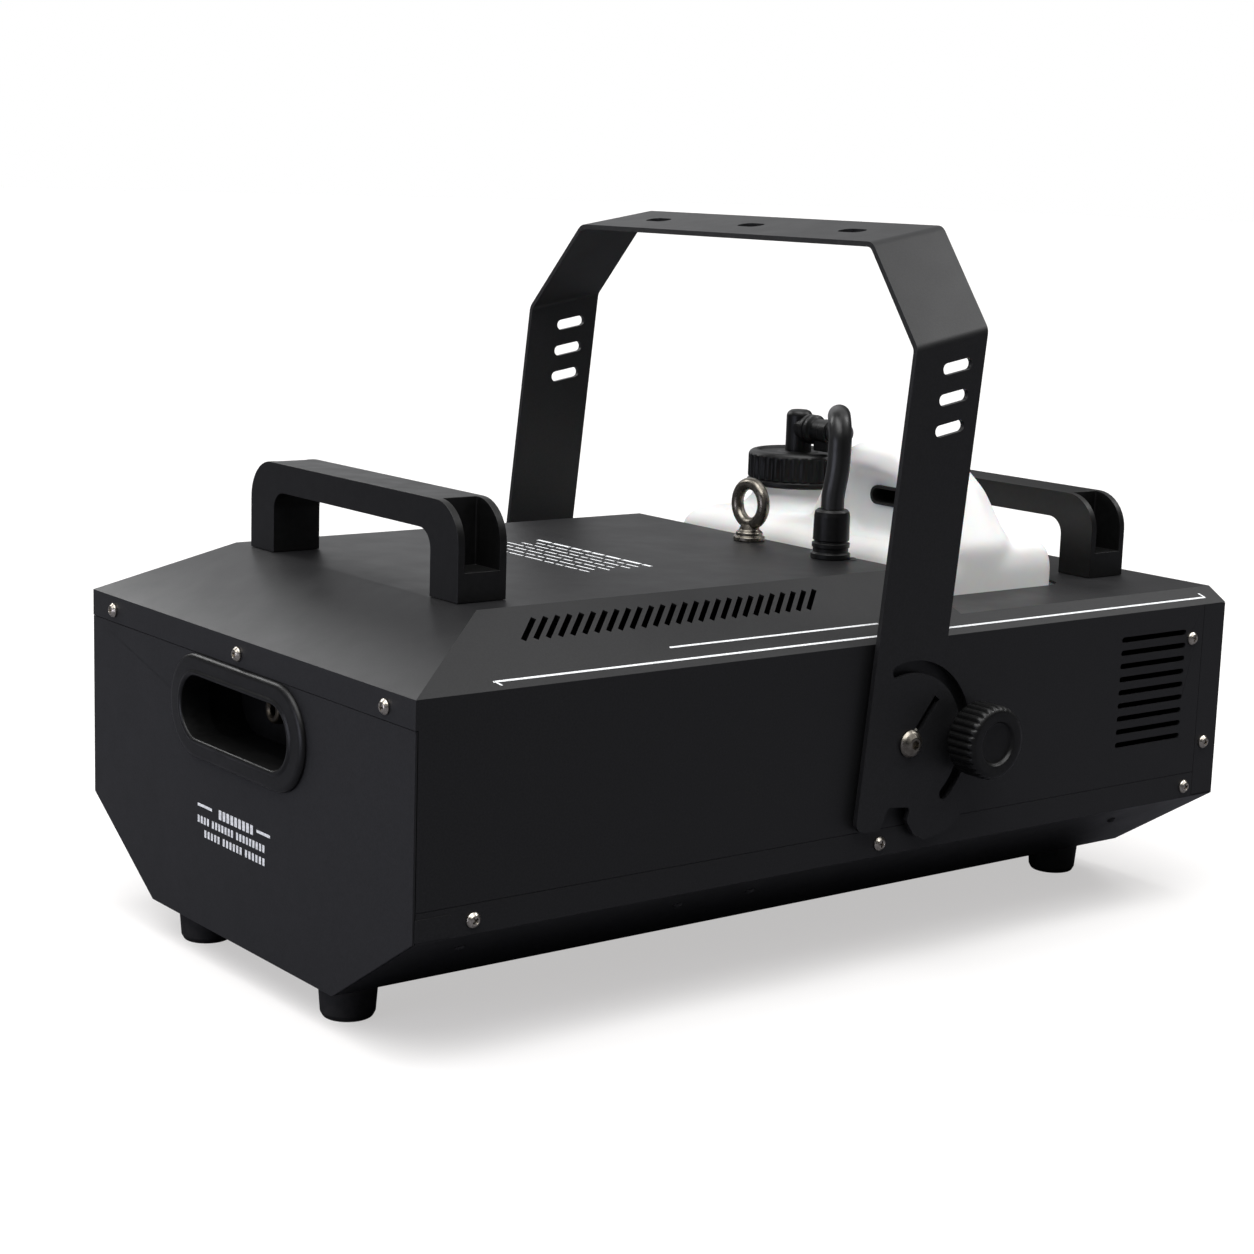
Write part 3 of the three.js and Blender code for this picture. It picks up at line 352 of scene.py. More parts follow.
LOOKS = {
    "powder_coat": powder_coat(),
    "plastic": moulded_plastic(),
    "rubber": soft_rubber(),
    "hose": hose_rubber(),
    "nickel": plated_metal("black_nickel", (0.26, 0.24, 0.205), (0.15, 0.135, 0.115), 0.3),
    "screw": plated_metal("nickel_screw", (0.56, 0.52, 0.46), (0.36, 0.33, 0.29), 0.28, scale=700),
    "brass": plated_metal("heated_brass", (0.05, 0.045, 0.038), (0.09, 0.075, 0.05), 0.42),
    "aluminium": plated_metal("cast_aluminium", (0.52, 0.53, 0.54), (0.4, 0.41, 0.42), 0.48),
    "zinc": plated_metal("zinc_plate", (0.5, 0.52, 0.54), (0.38, 0.4, 0.42), 0.38, scale=60),
    "tank": tank_plastic(),
    "nylon": material("natural_nylon", (0.69, 0.67, 0.6), 0.5),
    "board": circuit_board(),
    "display": smoked_window(),
    "ink": white_ink(),
    "segment": lit_segment(),
}
vary_colour(LOOKS["nylon"], 150, (0.63, 0.61, 0.54), (0.73, 0.71, 0.64))
grain(LOOKS["nylon"], 800, 0.015)


# ---------- mesh helpers, all in millimetres ----------
def fillet(points, steps=8, closed=True):
    """Rounds the corners of a line of (u, v, radius) points."""
    out = []
    for i, (u, v, radius) in enumerate(points):
        corner = Vector((u, v))
        if not radius or (not closed and i in (0, len(points) - 1)):
            out.append((u, v))
            continue
        before = (Vector(points[i - 1][:2]) - corner).normalized()
        after = (Vector(points[(i + 1) % len(points)][:2]) - corner).normalized()
        half = before.angle(after) / 2
        centre = corner + (before + after).normalized() * (radius / math.sin(half))
        start = corner + before * (radius / math.tan(half)) - centre
        end = corner + after * (radius / math.tan(half)) - centre
        turn = math.atan2(start.x * end.y - start.y * end.x, start.dot(end))
        for k in range(steps + 1):
            point = centre + Matrix.Rotation(turn * k / steps, 2) @ start
            out.append((point.x, point.y))
    return out


def rounded_rect(cu, cv, w, h, radius, steps=8):
    """A rectangle of w by h about (cu, cv) with rounded corners."""
    a, b = w / 2, h / 2
    return fillet([(cu - a, cv - b, radius), (cu + a, cv - b, radius), (cu + a, cv + b, radius),
                   (cu - a, cv + b, radius)], steps)


def skin(rings, spans):
    """Quads between each of the first spans rings and the next, the last ring meeting the first."""
    n, count = len(rings[0]), len(rings)
    verts = [point for ring in rings for point in ring]
    faces = [(k * n + i, k * n + (i + 1) % n, (k + 1) % count * n + (i + 1) % n, (k + 1) % count * n + i)
             for k in range(spans) for i in range(n)]
    return verts, faces


def wrap(rings):
    """Skins rings that go round in a loop, such as a torus."""
    return skin(rings, len(rings))


def loft(rings):
    """Skins rings of equal point count, each a list of (x, y, z), and closes both ends."""
    n = len(rings[0])
    verts, faces = skin(rings, len(rings) - 1)
    faces.append(tuple(reversed(range(n))))
    faces.append(tuple(range((len(rings) - 1) * n, len(rings) * n)))
    return verts, faces


def revolve(profile, segments=72, flute=None):
    """Turns a (radius, height) profile about Z; flute(angle, radius, height) may change the radius."""
    rings = []
    for radius, height in profile:
        ring = []
        for k in range(segments):
            angle = 2 * math.pi * k / segments
            r = flute(angle, radius, height) if flute else radius
            ring.append((r * math.cos(angle), r * math.sin(angle), height))
        rings.append(ring)
    return loft(rings)


def prism(outline, low, high, along="z"):
    """Extrudes an outline: (x, y) along z, (x, z) along y, or (y, z) along x."""
    place = {"z": lambda u, v, w: (u, v, w), "y": lambda u, v, w: (u, w, v),
             "x": lambda u, v, w: (w, u, v)}[along]
    return loft([[place(u, v, w) for u, v in outline] for w in (low, high)])


def tube(points, radii, sides=32):
    """A round rod through the points, with a radius for each, its rings square to the path."""
    points = [Vector(p) for p in points]
    across, rings = None, []
    for i, point in enumerate(points):
        ahead = points[min(i + 1, len(points) - 1)] - points[max(i - 1, 0)]
        if i and i + 1 < len(points):
            ahead = (points[i + 1] - point).normalized() + (point - points[i - 1]).normalized()
        ahead.normalize()
        if across is None:
            across = ahead.orthogonal()
        across = (across - ahead * across.dot(ahead)).normalized()
        other = ahead.cross(across)
        angles = [2 * math.pi * k / sides for k in range(sides)]
        rings.append([tuple(point + (across * math.cos(a) + other * math.sin(a)) * radii[i])
                      for a in angles])
    return loft(rings)


def new_object(name, shape, centre=(0, 0, 0), axis=(0, 0, 1)):
    """A mesh object from millimetre verts and faces, its +Z turned to axis and moved to centre."""
    verts, faces = shape
    turn = Vector((0, 0, 1)).rotation_difference(Vector(axis)).to_matrix()
    mesh = bpy.data.meshes.new(name)
    mesh.from_pydata([(turn @ Vector(v) + Vector(centre)) * MM for v in verts], [], faces)
    mesh.update()
    obj = bpy.data.objects.new(name, mesh)
    bpy.context.scene.collection.objects.link(obj)
    return obj


def outward(obj):
    """Points every face outward."""
    work = bmesh.new()
    work.from_mesh(obj.data)
    bmesh.ops.recalc_face_normals(work, faces=work.faces)
    work.to_mesh(obj.data)
    work.free()


def apply_modifiers(obj):
    """Turns the object's modifiers into plain mesh."""
    graph = bpy.context.evaluated_depsgraph_get()
    result = bpy.data.meshes.new_from_object(obj.evaluated_get(graph))
    obj.modifiers.clear()
    obj.data = result


def combine(obj, other, operation):
    """Cuts or joins another object into this one, and removes the other."""
    outward(obj)
    outward(other)
    modifier = obj.modifiers.new("combine", "BOOLEAN")
    modifier.operation, modifier.solver, modifier.object = operation, "EXACT", other
    bpy.context.view_layer.update()
    apply_modifiers(obj)
    bpy.data.objects.remove(other)


def soften(obj, width, segments=3, angle=32):
    """Rounds the sharp edges by width millimetres and shades the rest smooth."""
    outward(obj)
    if width:
        modifier = obj.modifiers.new("edges", "BEVEL")
        modifier.width, modifier.segments = width * MM, segments
        modifier.limit_method, modifier.angle_limit = "ANGLE", math.radians(angle)
        bpy.context.view_layer.update()
        apply_modifiers(obj)
    obj.data.shade_smooth()
    obj.data.set_sharp_from_angle(angle=math.radians(angle + 8))
    obj.modifiers.new("even shading", "WEIGHTED_NORMAL").keep_sharp = True


def finish_piece(obj, body, slot, look=None, replaces=()):
    """Gives a piece its material, from the look or else from its slot, puts it on its body and hides the
    parts it replaces.
    """
    obj.data.materials.clear()
    obj.data.materials.append(LOOKS[look or slot])
    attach(obj, body)
    if replaces:
        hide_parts(*replaces)
    return obj


# ---------- carried-over CAD nodes ----------
def smooth_by_angle():
    """A modifier group that shades faces smooth and marks edges over 32 degrees as sharp."""
    tree = bpy.data.node_groups.new("smooth_by_angle", "GeometryNodeTree")
    tree.interface.new_socket("Geometry", in_out="INPUT", socket_type="NodeSocketGeometry")
    tree.interface.new_socket("Geometry", in_out="OUTPUT", socket_type="NodeSocketGeometry")
    nodes, links = tree.nodes, tree.links
    start, end = nodes.new("NodeGroupInput"), nodes.new("NodeGroupOutput")
    faces, edges = nodes.new("GeometryNodeSetShadeSmooth"), nodes.new("GeometryNodeSetShadeSmooth")
    edges.domain = "EDGE"
    bend = nodes.new("GeometryNodeInputMeshEdgeAngle")
    sharp = nodes.new("FunctionNodeCompare")
    sharp.operation = "GREATER_THAN"
    sharp.inputs["B"].default_value = math.radians(32)
    edges.inputs["Shade Smooth"].default_value = False
    links.new(start.outputs[0], faces.inputs["Geometry"])
    links.new(faces.outputs["Geometry"], edges.inputs["Geometry"])
    links.new(bend.outputs["Unsigned Angle"], sharp.inputs["A"])
    links.new(sharp.outputs["Result"], edges.inputs["Selection"])
    links.new(edges.outputs["Geometry"], end.inputs[0])
    return tree


SMOOTH = smooth_by_angle()
EDGE_WIDTHS = {
    "top_cover": 1.0, "bottom_pan": 0.8, "front_panel": 0.4, "rear_panel": 0.4, "bracket": 0.55,
    "mains_inlet": 0.5, "switch_frame": 0.4, "switch_rocker": 0.5, "display_panel": 0.4, "fuse_holder": 0.3,
    "fuse_cap": 0.4, "dmx_in": 0.4, "dmx_out": 0.4, "tank_grip": 0.5, "tank_well": 0.4, "thermostat": 0.6,
    "heater_lower": 1.0, "heater_upper": 1.0, "pump": 0.6, "pump_bracket": 0.4,
}
OTHER_LOOKS = {"nozzle_shroud": "plastic", "intake_tube": "nylon"}


SLOTS = {part["node"]: part["material_slot"] for part in frame["record"]["subparts"]}


def carry_over(name, node):
    """A CAD node keeps its shape and gets rounded edges, even shading and its slot's material."""
    weld = node.modifiers.new("weld", "WELD")
    weld.merge_threshold = 0.00002
    if name in EDGE_WIDTHS:
        edges = node.modifiers.new("edges", "BEVEL")
        edges.width, edges.segments = EDGE_WIDTHS[name] * MM, 2
        edges.limit_method, edges.angle_limit = "ANGLE", math.radians(28)
    node.modifiers.new("smooth", "NODES").node_group = SMOOTH
    node.modifiers.new("even shading", "WEIGHTED_NORMAL").keep_sharp = True
    look = LOOKS[OTHER_LOOKS.get(name, SLOTS[name])]
    for slot in node.material_slots:
        slot.material = look


for node_name, node_object in frame["nodes"].items():
    carry_over(node_name, node_object)


# ---------- nozzle ----------
BEZEL_HOLE_W, BEZEL_HOLE_H = 120.0, 36.0


def stadium(half_w, half_h, steps=20):
    """Points round a stadium in (x, z), the same count and order whatever its size."""
    out = []
    for side in (1, -1):
        for k in range(steps + 1):
            angle = math.radians(-90 + 180 * k / steps) + (0 if side > 0 else math.pi)
            out.append((side * (half_w - half_h) + half_h * math.cos(angle), half_h * math.sin(angle)))
    return out


def nozzle_bezel():
    """The oval plastic ring round the fog outlet."""
    low, high = box_mm("nozzle_bezel")
    middle, front, back = (low.z + high.z) / 2, low.y, -HALF_L - 0.3
    inner = stadium(BEZEL_HOLE_W / 2, BEZEL_HOLE_H / 2)
    outer = stadium((high.x - low.x) / 2, (high.z - low.z) / 2)
    throat = high.y
    # (share of the way from the opening to the outside, y): a raised lip, a flat face, a round shoulder
    section = [(0, throat), (0, front + 1.4), (0.03, front + 0.7), (0.08, front + 0.2), (0.14, front),
               (0.2, front + 0.15), (0.25, front + 0.7), (0.31, front + 0.95), (0.74, front + 0.95),
               (0.85, front + 1.15), (0.93, front + 1.7), (0.98, front + 2.5), (1, front + 3.3), (1, back),
               (0.28, back), (0.28, throat)]
    rings = []
    for share, y in section:
        rings.append([(a[0] + (b[0] - a[0]) * share, y, middle + a[1] + (b[1] - a[1]) * share)
                      for a, b in zip(inner, outer)])
    obj = new_object("bezel_ring", wrap(rings))
    soften(obj, 0, angle=42)
    finish_piece(obj, "machine", "plastic", replaces=["nozzle_bezel"])


def nozzle_tip():
    """The turned nozzle, with its jet bore at the front."""
    low, high = box_mm("nozzle")
    centre = ((low.x + high.x) / 2, low.y, (low.z + high.z) / 2)
    depth = high.y - low.y
    profile = fillet([(3, 14, 0), (3, 1, 0.8), (4.6, 0, 0.6), (7.2, 0, 1.6), (8.3, 3.5, 0.8), (8.3, 9, 0.6),
                      (7, 9.6, 0.3), (7, depth, 0)], 5, closed=False)
    obj = new_object("nozzle_tip", revolve(profile), centre, (0, 1, 0))
    soften(obj, 0)
    finish_piece(obj, "machine", "brass", replaces=["nozzle"])


# ---------- fasteners ----------
def cross_recess(radius, depth):
    """A tapered cross that a screwdriver fits, pointing down from z = 0."""
    arm, width = radius * 0.62, radius * 0.17
    top = [(arm, -width), (arm, width), (width, width), (width, arm), (-width, arm), (-width, width),
           (-arm, width), (-arm, -width), (-width, -width), (-width, -arm), (width, -arm), (width, -width)]
    deep = [(x * 0.45, y * 0.45) for x, y in top]
    return loft([[(x, y, -depth) for x, y in deep], [(x * 1.15, y * 1.15, depth) for x, y in top]])


def screw_mesh(radius, height):
    """A pan-head screw standing on z = 0, with a washer edge and a cross recess."""
    profile = fillet([(0.3, -0.8, 0), (radius * 0.9, -0.8, 0), (radius, 0, 0.1),
                      (radius, height * 0.25, 0.25), (radius * 0.93, height * 0.42, 0.2),
                      (radius * 0.62, height * 0.95, 0.9), (0.3, height, 0)], 4, closed=False)
    head = new_object("screw_pattern", revolve(profile, 40))
    cutter = new_object("screw_cutter", cross_recess(radius, height * 0.75), (0, 0, height))
    combine(head, cutter, "DIFFERENCE")
    soften(head, 0)
    mesh = head.data
    bpy.data.objects.remove(head)
    return mesh


SCREW = screw_mesh(4.2, 2.5)
SMALL_SCREW = screw_mesh(2.9, 1.5)


def add_screw(name, centre, axis, pattern=SCREW, look="screw", turn=0.0, replaces=()):
    """A copy of a screw pattern with its head facing along axis."""
    mesh = pattern.copy()
    turned = Vector((0, 0, 1)).rotation_difference(Vector(axis)).to_matrix().to_4x4()
    mesh.transform(Matrix.Translation(Vector(centre) * MM) @ turned @ Matrix.Rotation(turn, 4, "Z"))
    obj = bpy.data.objects.new(name, mesh)
    bpy.context.scene.collection.objects.link(obj)
    obj.modifiers.new("even shading", "WEIGHTED_NORMAL").keep_sharp = True
    finish_piece(obj, "machine", "nickel", look, replaces)


SIDE_SCREWS = [(-268.6, 77.5), (11.8, 77.5), (277.0, 77.5), (275.0, 174.0), (293.0, 105.0)]  # (y, z)
REAR_SCREWS = [(-160, 92), (160, 92), (-160, 182), (160, 182), (0, 92), (0, 192)]             # (x, z)
CHAMFER_SCREWS_Y, CHAMFER_SCREW_IN = (-262, -118, -66, 236), 22
SOCKETS_X, SOCKETS_Z, SOCKET_SCREW = {"in": 56.0, "out": 102.0}, 118.0, 10.4 * 1.05


def body_screws():
    """Lip, side, chamfer, rear and socket screws; the sides and chamfers are alike left and right."""
    for i in (1, 2, 3):
        low, high = box_mm(f"lip_screw_{i}")
        centre = ((low.x + high.x) / 2, high.y, (low.z + high.z) / 2)
        add_screw(f"lip_screw_head_{i}", centre, (0, -1, 0), turn=0.5 * i, replaces=[f"lip_screw_{i}"])
    chamfer_z = Z_BELLY - CHAMFER_SCREW_IN * (Z_BELLY - PAN_LOW.z) / BELLY_IN
    chamfer = Vector((Z_BELLY - PAN_LOW.z, -BELLY_IN)).normalized()
    for label, side in (("left", -1), ("right", 1)):
        for i, (y, z) in enumerate(SIDE_SCREWS, 1):
            add_screw(f"side_screw_{label}_{i}", (side * (HALF_W + 0.1), y, z), (side, 0, 0), turn=0.7 * i)
        for i, y in enumerate(CHAMFER_SCREWS_Y, 1):
            centre = (side * (HALF_W - CHAMFER_SCREW_IN), y, chamfer_z)
            add_screw(f"chamfer_screw_{label}_{i}", centre, (side * chamfer.x, 0, chamfer.y), SMALL_SCREW,
                      "powder_coat", turn=0.4 * i)
    for i, (x, z) in enumerate(REAR_SCREWS, 1):
        add_screw(f"rear_screw_{i}", (x, HALF_L + 0.1, z), (0, 1, 0), turn=0.9 * i)
    add_screw("deck_screw_1", (89.7, 64.1, Z_TOP - 0.2), (0, 0, 1), SMALL_SCREW, "powder_coat")
    for label, x in SOCKETS_X.items():
        for k, side in enumerate((-1, 1), 1):
            centre = (x + side * SOCKET_SCREW, HALF_L + 0.2, SOCKETS_Z - side * SOCKET_SCREW)
            add_screw(f"socket_screw_{label}_{k}", centre, (0, 1, 0), SMALL_SCREW)


def pivot_bolt(label, side):
    """A dark button-head bolt with a hexagonal recess."""
    low, high = box_mm(f"pivot_bolt_{label}")
    face = high.x if side > 0 else -low.x
    radius, seat = (high.y - low.y) / 2, 186.3
    top = face - seat
    centre, axis = (side * seat, PIVOT_Y, PIVOT_Z), (side, 0, 0)
    profile = fillet([(3.9, -20, 0), (3.9, 0, 0), (radius - 0.4, 0, 0.3), (radius, 0.8, 0.4),
                      (radius * 0.86, top * 0.55, 4), (radius * 0.5, top, 1.2), (0.4, top, 0)], 6,
                     closed=False)
    obj = new_object(f"button_bolt_{label}", revolve(profile), centre, axis)
    corners = [math.radians(60 * k) for k in range(6)]
    hexagon = [(2.9 * math.cos(a), 2.9 * math.sin(a)) for a in corners]
    cutter = new_object("bolt_cutter", prism(hexagon, top - 3, top + 2), centre, axis)
    combine(obj, cutter, "DIFFERENCE")
    soften(obj, 0)
    finish_piece(obj, "machine", "nickel", replaces=[f"pivot_bolt_{label}"])


def clamp_knob(label, side):
    """A fluted hand knob with a dished face."""
    low, high = box_mm(f"clamp_knob_{label}")
    start, face = (low.x, high.x) if side > 0 else (-high.x, -low.x)
    radius, length, flutes = (high.y - low.y) / 2, face - start, 30

    def flute(angle, r, height):
        if not 6.5 < height < length - 2.2 or r < radius - 2:
            return r
        wave = 0.5 + 0.5 * math.cos(flutes * angle)
        return r - 1.3 * wave ** 2.5

    sides = [(radius - 0.2, 8.2 + (length - 12.2) * k / 5) for k in range(6)]
    profile = [(4, 0), (12.5, 0), (13.6, 1), (14.2, 5.5), (17.5, 5.9), (radius - 1.6, 6.3), (radius - 0.7, 7),
               *sides, (radius - 0.7, length - 2.6), (radius - 1.5, length - 1.2),
               (radius - 2.8, length - 0.3), (radius - 4.2, length), (13.6, length - 0.1), (12.9, length - 0.5), (12.4, length - 1.6),
               (11.8, length - 2.4), (10, length - 2.7), (0.5, length - 2.5)]
    obj = new_object(f"knob_grip_{label}", revolve(profile, 240, flute), (side * start, CLAMP_Y, PIVOT_Z),
                     (side, 0, 0))
    soften(obj, 0, angle=48)
    finish_piece(obj, f"knob_{label}", "plastic", replaces=[f"clamp_knob_{label}"])


# ---------- handles, eyebolt and feet ----------
HANDLE_FOOT, HANDLE_BAR, HANDLE_WALL, HANDLE_FLOOR = 27.0, 17.0, 4.4, 16.0
HANDLE_OUTER, HANDLE_INNER = 23.0, 11.0    # corner radii


def handle(node, name):
    """A moulded carry handle: rounded bridge, and a channel in each outer end, open outward and upward."""
    low, high = box_mm(node)
    half, height = (high.x - low.x) / 2, high.z - low.z
    inside, under = half - HANDLE_FOOT, height - HANDLE_BAR
    outline = fillet([(-half, 0, 0), (-inside, 0, 0), (-inside, under, HANDLE_INNER),
                      (inside, under, HANDLE_INNER), (inside, 0, 0), (half, 0, 0),
                      (half, height, HANDLE_OUTER), (-half, height, HANDLE_OUTER)], 10)
    obj = new_object(name, prism(outline, low.y, high.y, "y"), (0, 0, low.z))
    for side in (-1, 1):
        ends = sorted((side * (inside + HANDLE_WALL), side * (half + 5)))
        channel = rounded_rect(sum(ends) / 2, (low.y + high.y) / 2, ends[1] - ends[0],
                               high.y - low.y - 2 * HANDLE_WALL, 1.2, 3)
        cutter = new_object("channel_cutter", prism(channel, low.z + HANDLE_FLOOR, high.z + 5))
        combine(obj, cutter, "DIFFERENCE")
    soften(obj, 1.5, 3, 28)
    finish_piece(obj, "machine", "plastic", replaces=[node])


def torus(centre, ring_radius, thick, around=72, sides=28):
    """A ring standing upright, its hole facing along Y."""
    rings = []
    for a in (2 * math.pi * k / around for k in range(around)):
        ring = []
        for b in (2 * math.pi * k / sides for k in range(sides)):
            reach = ring_radius + thick * math.cos(b)
            ring.append((centre[0] + reach * math.cos(a), centre[1] + thick * math.sin(b),
                         centre[2] + reach * math.sin(a)))
        rings.append(ring)
    return wrap(rings)


def eyebolt():
    """A lifting eye on a round collar."""
    low, high = box_mm("eyebolt")
    y, deck, thick = (low.y + high.y) / 2, Z_TOP + 0.3, 3.9
    ring_radius = (high.x - low.x) / 2 - thick
    obj = new_object("lifting_eye", torus((0, y, high.z - thick - ring_radius), ring_radius, thick))
    base = fillet([(4, -15, 0), (4, 0, 0), (10, 0, 0.4), (10, 2.4, 0.8), (8.4, 3, 0.4), (8.6, 5, 1),
                   (6.6, 6.6, 1.4), (5.4, 10, 0)], 5, closed=False)
    combine(obj, new_object("eye_base", revolve(base), (0, y, deck)), "UNION")
    soften(obj, 0.5, 3, 40)
    finish_piece(obj, "machine", "nickel", replaces=["eyebolt"])


def feet():
    """Four turned rubber feet, wider towards the body."""
    for corner in ("front_left", "front_right", "rear_left", "rear_right"):
        low, high = box_mm(f"foot_{corner}")
        centre = ((low.x + high.x) / 2, (low.y + high.y) / 2, 0)
        radius, top = (high.x - low.x) / 2, high.z
        profile = fillet([(4, 3, 0), (5, 0, 0.5), (radius - 3, 0, 1.6), (radius - 1.4, 3, 1),
                          (radius, top, 0), (2, top, 0)], 5, closed=False)
        obj = new_object(f"rubber_{corner}", revolve(profile), centre)
        soften(obj, 0)
        finish_piece(obj, "machine", "rubber", replaces=[f"foot_{corner}"])


# ---------- tank, cap and hose ----------
def can_ring(shrink, z):
    """A level outline of the tank's can, drawn in by shrink."""
    outline = rounded_rect(0, (TANK_Y0 + TANK_Y1) / 2, 2 * (TANK_HALF - shrink),
                           TANK_Y1 - TANK_Y0 - 2 * shrink, TANK_CORNER)
    return [(x, y, z) for x, y in outline]


def hump_ring(shrink, y):
    """An upright outline of the tank's hump, drawn in by shrink; the melting takes 1.5 mm off its top."""
    shoulder, top = TANK_SHOULDER, box_mm("fluid_tank")[1].z + 1.5
    outline = fillet([(-26 + shrink, shoulder - 28, 4), (113 - shrink, shoulder - 28, 4),
                      (113 - shrink, shoulder - 3, 14), (88.5 - shrink, top - 22 - shrink, 30),
                      (58 - shrink, top - shrink, 16), (14 + shrink, top - shrink, 12),
                      (-3 + shrink, top - 12 - shrink, 12), (-19 + shrink, shoulder + 4, 10)])
    return [(x, y, z) for x, z in outline]


def tank_hull():
    """The blow-moulded tank: a can, a tall hump and a neck, melted into one soft form."""
    shoulder = TANK_SHOULDER
    can = loft([can_ring(6, TANK_FLOOR), can_ring(0, TANK_FLOOR + 7), can_ring(0, shoulder - 18),
                can_ring(2, shoulder - 9), can_ring(6, shoulder - 3.5), can_ring(14, shoulder),
                can_ring(24, shoulder + 1)])
    hump = loft([hump_ring(10, HUMP_Y0), hump_ring(3, HUMP_Y0 + 7), hump_ring(0, HUMP_Y0 + 20),
                 hump_ring(0, HUMP_Y1 - 20), hump_ring(3, HUMP_Y1 - 7), hump_ring(10, HUMP_Y1)])
    x, y, cap_low = cap_centre()
    neck = revolve([(30, shoulder - 12), (39, shoulder - 11), (34, shoulder + 4), (29, shoulder + 9),
                    (27.5, cap_low - 3), (27, cap_low + 16)])
    obj = new_object("tank_hull", can)
    for shape, at in ((hump, (0, 0, 0)), (neck, (x, y, 0))):
        combine(obj, new_object("tank_part", shape, at), "UNION")
    groove_outline = rounded_rect(GRIP_X - 4, GRIP_Z - 5, GRIP_W + 22, GRIP_H + 26, 12)
    groove = prism(groove_outline, HUMP_Y0 - 18, HUMP_Y0 + 3.5, "y")
    combine(obj, new_object("groove_cutter", groove), "DIFFERENCE")
    melt = obj.modifiers.new("melt", "REMESH")
    melt.mode, melt.voxel_size = "VOXEL", 0.002
    flow = obj.modifiers.new("flow", "SMOOTH")
    flow.factor, flow.iterations = 0.5, 18
    apply_modifiers(obj)
    hole = prism(rounded_rect(GRIP_X, GRIP_Z, GRIP_W, GRIP_H, 6), HUMP_Y0 - 18, HUMP_Y1 + 14, "y")
    combine(obj, new_object("hole_cutter", hole), "DIFFERENCE")
    soften(obj, 0, angle=50)
    finish_piece(obj, "tank", "tank", replaces=["fluid_tank"])


def cap_centre():
    """The middle of the cap's lower rim."""
    low, high = box_mm("tank_cap")
    return (low.x + high.x) / 2, (low.y + high.y) / 2, low.z


def tank_cap():
    """A ribbed screw cap with a plain lower rim and a raised ring on top."""
    low, high = box_mm("tank_cap")
    radius, height, ribs = (high.x - low.x) / 2, high.z - low.z, 32

    def flute(angle, r, z):
        if not 4.4 < z < height - 3.2:
            return r
        wave = abs(math.cos(ribs * angle / 2))
        return r - 1.5 * (1 - wave ** 1.4)

    sides = [(radius - 0.3, 5.2 + (height - 9.6) * k / 5) for k in range(6)]
    profile = [(27.6, 0), (radius - 0.5, 0), (radius, 0.6), (radius, 3), (radius - 0.6, 3.6),
               (radius - 1.6, 4.3), *sides, (radius - 0.5, height - 3.1), (radius - 1.3, height - 1.6),
               (radius - 2.8, height - 0.5), (radius - 4.6, height), (radius - 7, height),
               (radius - 7.8, height - 0.9), (radius - 8.6, height - 1.5), (14, height - 1.5),
               (13, height - 0.8), (12, height - 0.6), (9.4, height - 0.6)]
    obj = new_object("cap_shell", revolve(profile, 256, flute), cap_centre())
    soften(obj, 0, angle=46)
    finish_piece(obj, "cap", "plastic", replaces=["tank_cap"])


def cap_elbow():
    """A moulded elbow: a round-topped post, and an arm with a collar, a clamp and its tail."""
    x, y, _ = cap_centre()
    foot = box_mm("cap_elbow")[0].z
    post = fillet([(0.5, 0, 0), (8.7, 0, 0), (8.7, ELBOW_TOP - foot, 4.5), (0.5, ELBOW_TOP - foot, 0)], 6,
                  closed=False)
    obj = new_object("elbow_fitting", revolve(post, 64), (x, y, foot))
    arm = fillet([(0.5, 0, 0), (8.3, 0, 0), (8.3, 9.5, 0.6), (9.8, 10.2, 0.5), (9.8, 12.6, 0.5),
                  (8.8, 13.2, 0.3), (8.8, 14, 0.3), (9.8, 14.6, 0.5), (9.8, 17, 0.6), (7.7, 18.4, 0.5),
                  (7.4, 25.5, 0.3), (7.9, 26.2, 0.3), (7.9, 32.6, 0.3), (7, 33, 0.3), (7, ELBOW_OUT, 0),
                  (0.5, ELBOW_OUT, 0)], 4, closed=False)
    combine(obj, new_object("elbow_arm", revolve(arm, 64), (x, y, ELBOW_Z), (1, 0, 0)), "UNION")
    tail = prism(rounded_rect(y - 1, ELBOW_Z - 9, 5, 9, 1.2, 3), x + 19, x + 32.5, "x")
    combine(obj, new_object("elbow_tail", tail), "UNION")
    soften(obj, 0.3, 2, 34)
    finish_piece(obj, "tank", "plastic", replaces=["cap_elbow"])


def catmull_rom(points, steps):
    """Points along a centripetal Catmull-Rom curve."""
    points = [Vector(p) for p in points]
    ends = [points[0] * 2 - points[1], *points, points[-1] * 2 - points[-2]]
    out = []
    for i in range(len(points) - 1):
        a, b, c, d = ends[i:i + 4]
        knots = [0.0]
        for first, second in ((a, b), (b, c), (c, d)):
            knots.append(knots[-1] + max((second - first).length, 1e-6) ** 0.5)
        for k in range(steps + (i == len(points) - 2)):
            t = knots[1] + (knots[2] - knots[1]) * k / steps
            p = [first + (second - first) * ((t - lo) / (hi - lo)) for first, second, lo, hi in
                 ((a, b, knots[0], knots[1]), (b, c, knots[1], knots[2]), (c, d, knots[2], knots[3]))]
            q = [p[0] + (p[1] - p[0]) * ((t - knots[0]) / (knots[2] - knots[0])),
                 p[1] + (p[2] - p[1]) * ((t - knots[1]) / (knots[3] - knots[1]))]
            out.append(q[0] + (q[1] - q[0]) * ((t - knots[1]) / (knots[2] - knots[1])))
    return out


